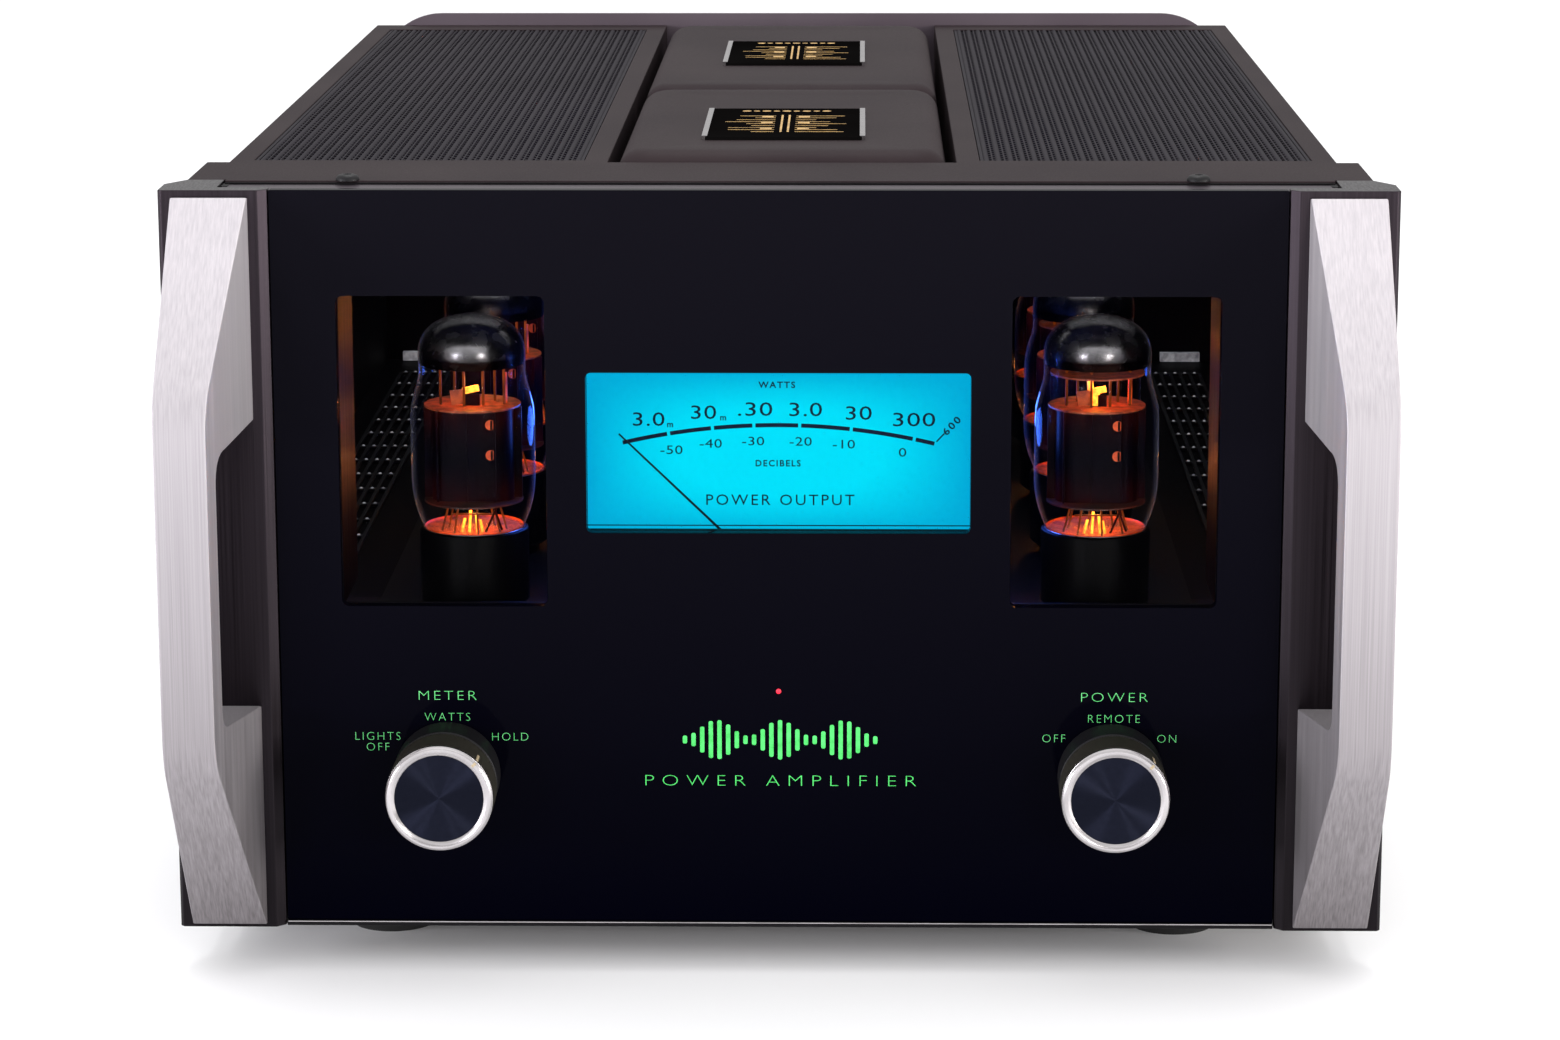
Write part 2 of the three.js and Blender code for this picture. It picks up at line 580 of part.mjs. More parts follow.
function phonoInput() {
  const { x, z, barrel, depth, flange, length } = PHONO;
  const inner = BODY.rear - depth;
  const end = REAR_FACE + length;
  const profile = [[0, inner], [barrel, inner], [barrel, REAR_FACE + GAP], [flange, REAR_FACE + GAP],
    [flange, REAR_FACE + 3], [4.2, REAR_FACE + 3], [4.2, end], [1.6, end], [1.6, REAR_FACE + 2],
    [0, REAR_FACE + 2]];
  return part("unbalanced_input", turnedForward(profile, x, z, 16), FINISHES.gold);
}

function terminalBlock() {
  const { x, z, pitch, end, face, halfHeight } = TERMINAL;
  const base = block(around(x, 2 * pitch), [REAR_FACE + GAP, face], around(z, halfHeight));
  const posts = TERMINAL_PLACES.map((place) => rod(TERMINAL.post, face - 1, end, place, z));
  return part("speaker_terminal_block", join(base, ...posts), FINISHES.blackPlastic);
}

// The finger nut of a binding post, screwed home.
function terminalNut(place, i) {
  const { bore, radius, clearance, length } = NUT;
  const front = TERMINAL.face + clearance;
  const rear = front + length;
  const profile = [[bore, front], [radius, front], [radius, rear - 1], [radius - 1, rear],
    [bore, rear], [bore, front]];
  const nut = turnedForward(profile, place, TERMINAL.z, 16);
  return part(`speaker_terminal_nut_${i + 1}`, nut, FINISHES.gold);
}

// ---- Feet ---------------------------------------------------------------------------------------

const feet = SIDES.flatMap(([word, side]) => ["front", "rear"].map((end) => {
  const { height, radius, flare } = FOOT;
  const top = CAP.bottom - GAP;
  const profile = [[0, -height], [radius - flare, -height], [radius, flare - height],
    [radius + flare, top], [0, top]];
  const foot = turnedUpright(profile, side * FOOT.x, FOOT.y[end], 24);
  return part(`foot_${end}_${word}`, foot, FINISHES.rubber);
}));

// ---- Assembly -----------------------------------------------------------------------------------

const amplifier = new THREE.Group();
const panelFrame = new THREE.Group();
panelFrame.position.set(0, -(HANDLE.front + TERMINAL.end) / 2, FOOT.height);
panelFrame.add(
  frontGlass(), backingPanel(), ...SIDES.map(endCap), ...SIDES.map(handle), topRail(), bottomRail(),
  frontShroud(),
  meterCase(), meterDial(), meterNeedle(), statusLed(), ...controls,
  chassisPan(), bottomCover(), ...SIDES.map(valveCage), ...SIDES.map(cageGrille),
  transformerCover("front_transformer_cover", COVER.front),
  transformerCover("rear_transformer_cover", COVER.rear),
  transformer("output_transformer", COVER.front), transformer("power_transformer", COVER.rear),
  rearPanel(), ...valves, ...SIDES.map(valveBoard), circuitBoard(), capacitorBank(),
  mainsInlet(), balancedInput(), phonoInput(), terminalBlock(), ...TERMINAL_PLACES.map(terminalNut),
  ...feet,
);
amplifier.add(panelFrame);

export default amplifier;
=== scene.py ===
"""The looks of a valve power amplifier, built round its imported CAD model.

Shapes are drawn in millimetres in the panel's frame: x to the right, y towards the rear from the
front of the glass, z up from the bottom of the glass. place() turns that into the model's metres.
"""
import math

import bmesh
import bpy
from mathutils import Matrix, Vector


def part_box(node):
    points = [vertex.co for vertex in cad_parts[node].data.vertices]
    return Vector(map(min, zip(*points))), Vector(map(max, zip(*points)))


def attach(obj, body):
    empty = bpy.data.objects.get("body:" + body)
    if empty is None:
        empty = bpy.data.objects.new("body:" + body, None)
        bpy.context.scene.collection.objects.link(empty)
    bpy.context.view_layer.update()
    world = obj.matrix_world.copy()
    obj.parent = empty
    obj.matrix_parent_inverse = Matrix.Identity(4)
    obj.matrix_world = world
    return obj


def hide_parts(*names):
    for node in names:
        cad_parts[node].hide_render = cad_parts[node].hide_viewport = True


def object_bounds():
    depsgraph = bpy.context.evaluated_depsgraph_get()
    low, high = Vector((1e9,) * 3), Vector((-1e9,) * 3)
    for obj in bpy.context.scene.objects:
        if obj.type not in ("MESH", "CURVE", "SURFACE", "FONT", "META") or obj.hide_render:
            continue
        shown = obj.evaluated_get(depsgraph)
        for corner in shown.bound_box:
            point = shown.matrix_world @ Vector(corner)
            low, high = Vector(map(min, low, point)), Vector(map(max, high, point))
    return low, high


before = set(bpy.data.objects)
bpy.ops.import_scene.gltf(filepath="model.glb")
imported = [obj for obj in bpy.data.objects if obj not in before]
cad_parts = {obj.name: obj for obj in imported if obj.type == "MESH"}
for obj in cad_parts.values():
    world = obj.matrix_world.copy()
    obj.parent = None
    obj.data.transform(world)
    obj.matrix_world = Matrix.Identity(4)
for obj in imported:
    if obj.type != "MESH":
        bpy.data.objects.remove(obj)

CAD_LOW, CAD_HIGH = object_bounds()
MM = 0.001
PANEL = Vector((0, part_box("front_glass")[0].y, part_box("front_glass")[0].z))
SIDES = (("left", -1), ("right", 1))

# Heights in a power valve. The anode stands between the two mica discs.
BULB_FOOT, LOWER_MICA, ANODE_MIDDLE, UPPER_MICA = 141.0, 151.0, 168, 187
SHOULDER, BULB_NECK, BULB_TOP = 203, 206.0, 221.0


def place(x, y, z):
    return PANEL + Vector((x, y, z)) * MM


def box_mm(node):
    """Lowest and highest corner of a CAD node, in panel millimetres."""
    return [(corner - PANEL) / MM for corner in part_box(node)]


def centre_mm(node):
    """The x, y and z of the middle of a CAD node's box, in panel millimetres."""
    return [(low + high) / 2 for low, high in zip(*box_mm(node))]


def sided(side, near, far):
    """The span between two distances from the middle, to the left (-1) or the right (1)."""
    return sorted((side * near, side * far))


def new_object(name, data):
    made = bpy.data.objects.new(name, data)
    bpy.context.scene.collection.objects.link(made)
    return made


# ---- Outlines ----


def circle(u, v, radius, steps=32):
    turns = [2 * math.pi * i / steps for i in range(steps)]
    return [(u + radius * math.cos(t), v + radius * math.sin(t)) for t in turns]


def rounded(u, v, radius, steps=6):
    """A rectangle from u[0], v[0] to u[1], v[1] with round corners."""
    centres = [(u[1] - radius, v[1] - radius, 0), (u[0] + radius, v[1] - radius, 90),
               (u[0] + radius, v[0] + radius, 180), (u[1] - radius, v[0] + radius, 270)]
    points = []
    for cu, cv, start in centres:
        for i in range(steps + 1):
            t = math.radians(start + 90 * i / steps)
            points.append((cu + radius * math.cos(t), cv + radius * math.sin(t)))
    return points


def drum(radius, low, high):
    """The profile that a lathe turns into a plain drum."""
    return [(0, low), (radius, low), (radius, high), (0, high)]


def bend(start, corner, end):
    """A curve from start to end that leaves towards corner and arrives from it."""
    points, steps = [], 8
    for i in range(steps + 1):
        t = i / steps
        weights = (1 - t) ** 2, 2 * t * (1 - t), t * t
        points.append(tuple(sum(w * p[k] for w, p in zip(weights, (start, corner, end)))
                            for k in (0, 1)))
    return points


# ---- Mesh pieces ----

# Where a flat drawing's right, up and outward directions point.
FACINGS = {
    "front": ((1, 0, 0), (0, 0, 1), (0, -1, 0)),
    "rear": ((-1, 0, 0), (0, 0, 1), (0, 1, 0)),
    "top": ((1, 0, 0), (0, 1, 0), (0, 0, 1)),
}


def flat_mesh(curve):
    """The points and faces of a filled curve, with shared corners merged."""
    source = new_object("drawing", curve)
    mesh = bpy.data.meshes.new_from_object(source.evaluated_get(bpy.context.evaluated_depsgraph_get()))
    work = bmesh.new()
    work.from_mesh(mesh)
    bmesh.ops.remove_doubles(work, verts=work.verts, dist=1e-4)
    work.verts.index_update()
    points = [tuple(v.co) for v in work.verts]
    faces = [[v.index for v in face.verts] for face in work.faces]
    work.free()
    bpy.data.meshes.remove(mesh)
    bpy.data.objects.remove(source)
    bpy.data.curves.remove(curve)
    return points, faces


def tube(count, rows=2):
    """The faces of a closed tube made of rows rings of count points, with a cap at each end."""
    faces = []
    for first in range(0, (rows - 1) * count, count):
        for i in range(count):
            j = (i + 1) % count
            faces.append((first + i, first + j, first + count + j, first + count + i))
    last = (rows - 1) * count
    return faces + [list(range(count)), list(range(last + count - 1, last - 1, -1))]


CAPITAL = 0.73  # a capital's height as a share of the font's size


class Piece:
    """Gathers closed shapes, in panel millimetres, into one object."""

    def __init__(self, name):
        self.name, self.points, self.faces, self.marks, self.finishes = name, [], [], [], []

    def add(self, points, faces, finish):
        if finish not in self.finishes:
            self.finishes.append(finish)
        start = len(self.points)
        self.points.extend(points)
        self.faces.extend([start + i for i in face] for face in faces)
        self.marks.extend([self.finishes.index(finish)] * len(faces))

    def box(self, x, y, z, finish, turn=None, about=(0, 0, 0)):
        corners = [Vector((a, b, c)) for a in x for b in y for c in z]
        if turn is not None:
            pivot = Vector(about)
            corners = [turn @ (corner - pivot) + pivot for corner in corners]
        faces = [(0, 1, 3, 2), (4, 6, 7, 5), (0, 4, 5, 1), (2, 3, 7, 6), (0, 2, 6, 4), (1, 5, 7, 3)]
        self.add([tuple(corner) for corner in corners], faces, finish)

    def prism(self, outline, low, high, axis, finish):
        """An outline of the two other axes, in their order, drawn out along axis."""
        def at(point, depth):
            values = list(point)
            values.insert("xyz".index(axis), depth)
            return tuple(values)
        points = [at(p, low) for p in outline] + [at(p, high) for p in outline]
        self.add(points, tube(len(outline)), finish)

    def lathe(self, profile, centre, axis, finish, steps=48, wave=None):
        """A profile of (radius, distance) turned about axis, y or z, through centre."""
        points, rings = [], []
        for row, (radius, distance) in enumerate(profile):
            count = 1 if radius < 1e-6 else steps
            rings.append(range(len(points), len(points) + count))
            for i in range(count):
                t = 2 * math.pi * i / steps
                r = radius + (wave(row, i) if wave else 0)
                u, v = centre[0] + r * math.cos(t), centre[1] + r * math.sin(t)
                points.append((u, distance, v) if axis == "y" else (u, v, distance))
        faces = []
        for a, b in zip(rings, rings[1:]):
            for i in range(steps):
                j = (i + 1) % steps
                corners = [a[i % len(a)], a[j % len(a)], b[j % len(b)], b[i % len(b)]]
                face = [c for k, c in enumerate(corners) if c not in corners[:k]]
                if len(face) > 2:
                    faces.append(face)
        self.add(points, faces, finish)

    def rod(self, start, end, radius, finish, steps=8):
        """A round rod between two points."""
        start, end = Vector(start), Vector(end)
        turn = (end - start).to_track_quat("Z", "Y").to_matrix()
        ring = [turn @ Vector((*p, 0)) for p in circle(0, 0, radius, steps)]
        points = [tuple(start + p) for p in ring] + [tuple(end + p) for p in ring]
        self.add(points, tube(steps), finish)

    def drawing(self, points, faces, origin, facing, finish):
        across, up, out = (Vector(v) for v in FACINGS[facing])
        moved = [tuple(Vector(origin) + across * u + up * v + out * w) for u, v, w in points]
        self.add(moved, faces, finish)

    def plate(self, loops, thick, origin, facing, finish, edge=0.3):
        """A plate with round edges. The first loop is its outline and the others are holes."""
        curve = bpy.data.curves.new("plate", "CURVE")
        curve.dimensions, curve.fill_mode = "2D", "BOTH"
        curve.extrude, curve.bevel_depth, curve.offset = thick / 2 - edge, edge, -edge
        curve.bevel_resolution = 1
        for loop in loops:
            spline = curve.splines.new("POLY")
            spline.points.add(len(loop) - 1)
            for point, (u, v) in zip(spline.points, loop):
                point.co = (u, v, 0, 1)
            spline.use_cyclic_u = True
        points, faces = flat_mesh(curve)
        points = [(u, v, w - thick / 2) for u, v, w in points]
        self.drawing(points, faces, origin, facing, finish)

    def text(self, words, height, origin, facing, finish, stretch=1.15, spacing=1.1, turn=0.0, thin=0.0):
        curve = bpy.data.curves.new("words", "FONT")
        curve.body, curve.size, curve.space_character = words, height / CAPITAL, spacing
        curve.align_x, curve.align_y = "CENTER", "CENTER"
        curve.extrude, curve.resolution_u = 0.05, 3
        curve.offset = -thin * height
        points, faces = flat_mesh(curve)
        c, s = math.cos(math.radians(turn)), math.sin(math.radians(turn))
        wide = [(u * stretch, v, w) for u, v, w in points]
        turned = [(u * c - v * s, u * s + v * c, w) for u, v, w in wide]
        self.drawing(turned, faces, origin, facing, finish)

    def mesh(self):
        mesh = bpy.data.meshes.new(self.name)
        mesh.from_pydata([place(*p) for p in self.points], [], self.faces)
        mesh.polygons.foreach_set("material_index", self.marks)
        for finish in self.finishes:
            mesh.materials.append(FINISH[finish])
        work = bmesh.new()
        work.from_mesh(mesh)
        bmesh.ops.recalc_face_normals(work, faces=work.faces)
        work.to_mesh(mesh)
        work.free()
        return mesh

    def done(self, body="root", stands_for=(), bevel=0.0, angle=35, segments=2, flat=False):
        piece = new_object(self.name, self.mesh())
        soften(piece, bevel, angle, segments)
        if flat:
            level = piece.modifiers.new("flat_faces", "WEIGHTED_NORMAL")
            level.keep_sharp = True
        settle(piece, body, stands_for)


def soften(piece, bevel, angle=35, segments=2):
    """Smooth shading, with crisp edges past angle, or round ones where a bevel width is given."""
    piece.data.shade_smooth()
    if not bevel:
        piece.data.set_sharp_from_angle(angle=math.radians(angle))
        return
    modifier = piece.modifiers.new("edges", "BEVEL")
    modifier.width, modifier.segments = bevel * MM, segments
    modifier.limit_method, modifier.angle_limit = "ANGLE", math.radians(angle)
    modifier.harden_normals = True


def settle(piece, body="root", stands_for=()):
    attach(piece, body)
    if stands_for:
        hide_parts(*stands_for)


def dress(node, finish, bevel=0.0):
    """Gives a CAD node its finish and softens its edges, and leaves its mesh as it is."""
    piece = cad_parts[node]
    piece.data.materials.clear()
    piece.data.materials.append(FINISH[finish])
    if "custom_normal" in piece.data.attributes:
        piece.data.attributes.remove(piece.data.attributes["custom_normal"])
    weld = piece.modifiers.new("weld", "WELD")
    weld.merge_threshold = 1e-6
    plain = piece.modifiers.new("flat", "DECIMATE")
    plain.decimate_type, plain.angle_limit = "DISSOLVE", math.radians(0.5)
    piece.data.shade_smooth()
    if bevel:
        soften(piece, bevel)
    else:
        split = piece.modifiers.new("crisp", "EDGE_SPLIT")
        split.split_angle = math.radians(35)


# ---- Materials ----


def tone(red, green, blue):
    """A colour given as 0 to 255 on a screen, as the shader's linear one."""
    def linear(value):
        share = value / 255
        return share / 12.92 if share <= 0.04045 else ((share + 0.055) / 1.055) ** 2.4
    return (linear(red), linear(green), linear(blue), 1.0)


class Finish:
    """A Principled material with constants on its sockets and patterns fed from nodes."""

    def __init__(self, name, **constants):
        self.material = bpy.data.materials.new(name)
        self.material.use_nodes = True
        self.tree = self.material.node_tree
        self.shader = self.tree.nodes["Principled BSDF"]
        for key, value in constants.items():
            self.shader.inputs[key.replace("_", " ")].default_value = value
        self.coordinates = self.tree.nodes.new("ShaderNodeTexCoord").outputs["Object"]

    def fill(self, socket, value):
        """Links what a node makes to a socket, or sets a constant on it."""
        if isinstance(value, bpy.types.NodeSocket):
            self.tree.links.new(value, socket)
        else:
            socket.default_value = value

    def node(self, kind, inputs, output=0, **settings):
        made = self.tree.nodes.new("ShaderNode" + kind)
        for key, value in settings.items():
            setattr(made, key, value)
        for key, value in inputs.items():
            self.fill(made.inputs[key], value)
        return made.outputs[output]

    def grain(self, stretch, detail=3, distortion=0.0):
        """Noise with so many features to the metre: one number, or one each for x, y and z."""
        scale = (stretch,) * 3 if isinstance(stretch, int) else stretch
        spread = self.node("Mapping", {"Vector": self.coordinates, "Scale": scale})
        return self.node("TexNoise", {"Vector": spread, "Scale": 1.0, "Detail": detail,
                                      "Distortion": distortion})

    def position(self, axis):
        return self.node("SeparateXYZ", {"Vector": self.coordinates}, "xyz".index(axis))

    def within(self, axis, low, high):
        """1 between low and high along an axis, in model metres, and 0 outside; x counts both ways."""
        value = self.position(axis)
        if axis == "x":
            value = self.calc("ABSOLUTE", value, 0.0)
        return self.node("Math", {0: value, 1: (low + high) / 2, 2: (high - low) / 2},
                         operation="COMPARE")

    def along(self, axis, low, high):
        """0 at low and 1 at high, in model metres along x, y or z."""
        return self.spread(self.position(axis), 0, 1, (low, high))

    def spread(self, value, low=0, high=1, span=(0.3, 0.7)):
        """Stretches span, which for noise is nearly all of its values, to low and high."""
        return self.node("MapRange", {"Value": value, "From Min": span[0], "From Max": span[1],
                                      "To Min": low, "To Max": high})

    def blend(self, share, first, second):
        """From first to second as share goes from 0 to 1. A plain colour is given as for tone."""
        made = self.tree.nodes.new("ShaderNodeMix")
        made.data_type = "RGBA"
        sockets = {s.identifier: s for s in made.inputs}
        self.fill(sockets["Factor_Float"], share)
        for key, value in (("A_Color", first), ("B_Color", second)):
            self.fill(sockets[key], tone(*value) if isinstance(value, tuple) else value)
        return next(s for s in made.outputs if s.identifier == "Result_Color")

    def calc(self, operation, first, second):
        return self.node("Math", {0: first, 1: second}, operation=operation)

    def times(self, first, second):
        return self.calc("MULTIPLY", first, second)

    def feed(self, name, socket):
        self.tree.links.new(socket, self.shader.inputs[name])

    def bump(self, height, strength, depth_mm):
        self.feed("Normal", self.node("Bump", {
            "Height": height, "Strength": strength, "Distance": depth_mm * MM}))


def brushed(name, dark, light, roughness, stretch, strength=0.12, low=None, **constants):
    """Metal brushed along the axis that stretch has its fewest features on.

    low is its colour at the foot of the panel: painted shade that stands in for the darker ground it
    mirrors there.
    """
    finish = Finish(name, Metallic=constants.pop("Metallic", 1.0), **constants)
    streaks = finish.grain(stretch, 6)
    clouds = finish.grain(9, 2)
    colour = finish.blend(finish.spread(streaks), dark, light)
    if low:
        # Painted shade: the colour fades to low towards the foot of the panel.
        height = finish.along("z", PANEL.z, PANEL.z + 0.25)
        foot = finish.blend(finish.spread(streaks, 0, 0.3), low, dark)
        colour = finish.blend(height, foot, colour)
    finish.feed("Base Color", colour)
    if "Anisotropic" in constants:
        finish.tree.links.new(finish.node("CombineXYZ", {"Z": 1.0}), finish.shader.inputs["Tangent"])
    wander = finish.calc("ADD", finish.spread(streaks, -0.05, 0.07), finish.spread(clouds, -0.03, 0.03))
    finish.feed("Roughness", finish.calc("ADD", wander, roughness))
    finish.bump(streaks, strength, 0.05)
    return finish.material


def painted(name, dark, light, roughness, texture=1800, strength=0.1, shine=0.5):
    """Paint or plastic with a fine texture and faint clouds of tone and sheen."""
    finish = Finish(name, Specular_IOR_Level=shine)
    clouds = finish.grain(14)
    peel = finish.grain(texture)
    finish.feed("Base Color", finish.blend(finish.spread(clouds), dark, light))
    finish.feed("Roughness", finish.spread(peel, roughness - 0.04, roughness + 0.05))
    finish.bump(peel, strength, 0.04)
    return finish.material


def satin_paint_with_bay_shade():
    """The body's grey paint, darkened to near black as painted shade on the faces that look into a valve
    bay.
    """
    finish = Finish("satin_paint_with_bay_shade", Specular_IOR_Level=0.06)
    low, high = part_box("valve_cage_right")
    sheet = 0.6 * MM
    # Painted shade: a box mask over the faces inside the valve bay.
    bay = finish.times(finish.within("x", low.x + sheet, high.x - sheet),
                       finish.within("y", low.y - sheet, high.y - sheet))
    bay = finish.times(bay, finish.within("z", low.z - 3 * MM, high.z - sheet))
    clouds, peel = finish.grain(14), finish.grain(1800)
    paint = finish.blend(finish.spread(clouds), (38, 30, 33), (45, 37, 39))
    # The near-black colour inside the bay is painted shade.
    black = finish.blend(peel, (2, 1, 4), (7, 5, 9))
    finish.feed("Base Color", finish.blend(bay, paint, black))
    finish.feed("Roughness", finish.spread(peel, 0.52, 0.62))
    finish.bump(peel, 0.1, 0.04)
    return finish.material


def glowing(name, colour, edge, strength, stretch=300):
    """A lit surface whose glow is uneven, from edge to colour."""
    finish = Finish(name, Roughness=0.5, Emission_Strength=strength)
    uneven = finish.spread(finish.grain(stretch))
    lit = finish.blend(uneven, edge, colour)
    finish.feed("Base Color", lit)
    finish.feed("Emission Color", lit)
    return finish.material


def black_glass():
    finish = Finish("black_glass", Specular_IOR_Level=0.012)
    # Painted reflection and shade: lighter towards the top of the panel and near black at its foot.
    height = finish.along("z", PANEL.z, PANEL.z + 0.27)
    finish.feed("Base Color", finish.blend(height, (0, 0, 6), (12, 11, 17)))
    smears = finish.grain((20, 20, 34), 3, 0.6)
    finish.feed("Roughness", finish.spread(smears, 0.03, 0.07))
    return finish.material


def smoked_pane():
    """Clear glass that takes a little of the light, with faint smears."""
    finish = Finish("smoked_pane", Alpha=0.1, Specular_IOR_Level=0.02)
    smears = finish.grain((30, 30, 50), 3, 0.5)
    finish.feed("Base Color", finish.blend(smears, (0, 0, 1), (2, 2, 5)))
    finish.feed("Roughness", finish.spread(smears, 0.01, 0.05))
    return finish.material


def bulb_glass():
    """Thin glass: clear where it faces the eye, with a painted highlight that turns it light grey at its
    edges.
    """
    finish = Finish("bulb_glass", Specular_IOR_Level=0.6)
    facing = finish.node("LayerWeight", {"Blend": 0.35}, 1)
    haze = finish.grain((90, 90, 40))
    edge = finish.times(facing, facing)
    body = finish.blend(haze, (4, 4, 8), (16, 16, 28))
    finish.feed("Alpha", finish.spread(edge, 0.03, 0.95, (0.0, 1.0)))
    # Painted highlight: the base colour turns light grey towards the glass's edges.
    finish.feed("Base Color", finish.blend(finish.spread(edge, 0, 1, (0.2, 0.7)), body, (190, 190, 200)))
    finish.feed("Roughness", finish.spread(haze, 0.02, 0.08))
    return finish.material


def getter_mirror():
    """The silvery flash inside a bulb's dome, burnt dark towards its lower edge."""
    finish = Finish("getter_mirror", Metallic=1.0)
    low = PANEL.z + BULB_NECK * MM
    height = finish.along("z", low, low + 9 * MM)
    patches = finish.grain(160, 4)
    rise = finish.times(height, finish.spread(patches, 0.7, 1.25))
    finish.feed("Base Color", finish.blend(rise, (20, 8, 6), (220, 218, 223)))
    finish.feed("Roughness", finish.spread(patches, 0.2, 0.3))
    return finish.material


def painted_glow_metal(name, cold, glow_colour, strength):
    """Dark metal in a valve, with a painted glow towards its ends where its heater's light would fall on
    it.
    """
    finish = Finish(name, Metallic=0.2, Roughness=0.4, Specular_IOR_Level=0.03, Emission_Strength=strength)
    middle, reach = PANEL.z + ANODE_MIDDLE * MM, 24 * MM
    up = finish.along("z", middle, middle + reach)
    down = finish.along("z", middle, middle - reach)
    ends = finish.calc("ADD", up, down)
    glow_share = finish.times(ends, finish.grain((260, 260, 120)))
    finish.feed("Base Color", finish.blend(finish.grain((300, 300, 60)), cold, (6, 5, 18)))
    finish.feed("Emission Color", finish.blend(finish.times(glow_share, glow_share), (0, 0, 0), glow_colour))
    return finish.material


def lit_dial():
    """The meter's dial, lit from behind and dimmer towards its edges."""
    finish = Finish("lit_dial", Roughness=0.6, Specular_IOR_Level=0.0, Emission_Strength=1.2)
    low, high = place(-70, 0, 144), place(70, 0, 205)
    across = finish.along("x", low.x, high.x)
    up = finish.along("z", low.z, high.z)
    sides = finish.times(across, finish.calc("SUBTRACT", 1.0, across))
    ends = finish.times(up, finish.calc("SUBTRACT", 1.0, up))
    middle = finish.spread(finish.times(sides, ends), 0, 1, (0.0, 0.045))
    wash = finish.blend(middle, (0, 170, 218), (0, 228, 255))
    paper = finish.grain(700)
    lit = finish.blend(finish.spread(paper, 0, 0.04), wash, (60, 225, 255))
    finish.feed("Base Color", finish.blend(paper, (0, 4, 6), (0, 8, 12)))
    finish.feed("Emission Color", lit)
    return finish.material


def spun_inlay():
    """Dark metal turned on a lathe, so it mirrors in fans across its fine rings."""
    finish = Finish("spun_inlay", Metallic=1.0, Anisotropic=1.0)
    finish.tree.links.new(finish.node("Tangent", {}, direction_type="RADIAL", axis="Y"),
                          finish.shader.inputs["Tangent"])
    grain = finish.grain(500)
    finish.feed("Base Color", finish.blend(grain, (21, 23, 33), (28, 30, 42)))
    finish.feed("Roughness", finish.spread(grain, 0.31, 0.35))
    return finish.material


def floor_paper():
    finish = Finish("floor_paper", Roughness=0.9)
    finish.feed("Base Color", finish.blend(finish.grain(3, 2), (243, 243, 244), (248, 248, 249)))
    return finish.material


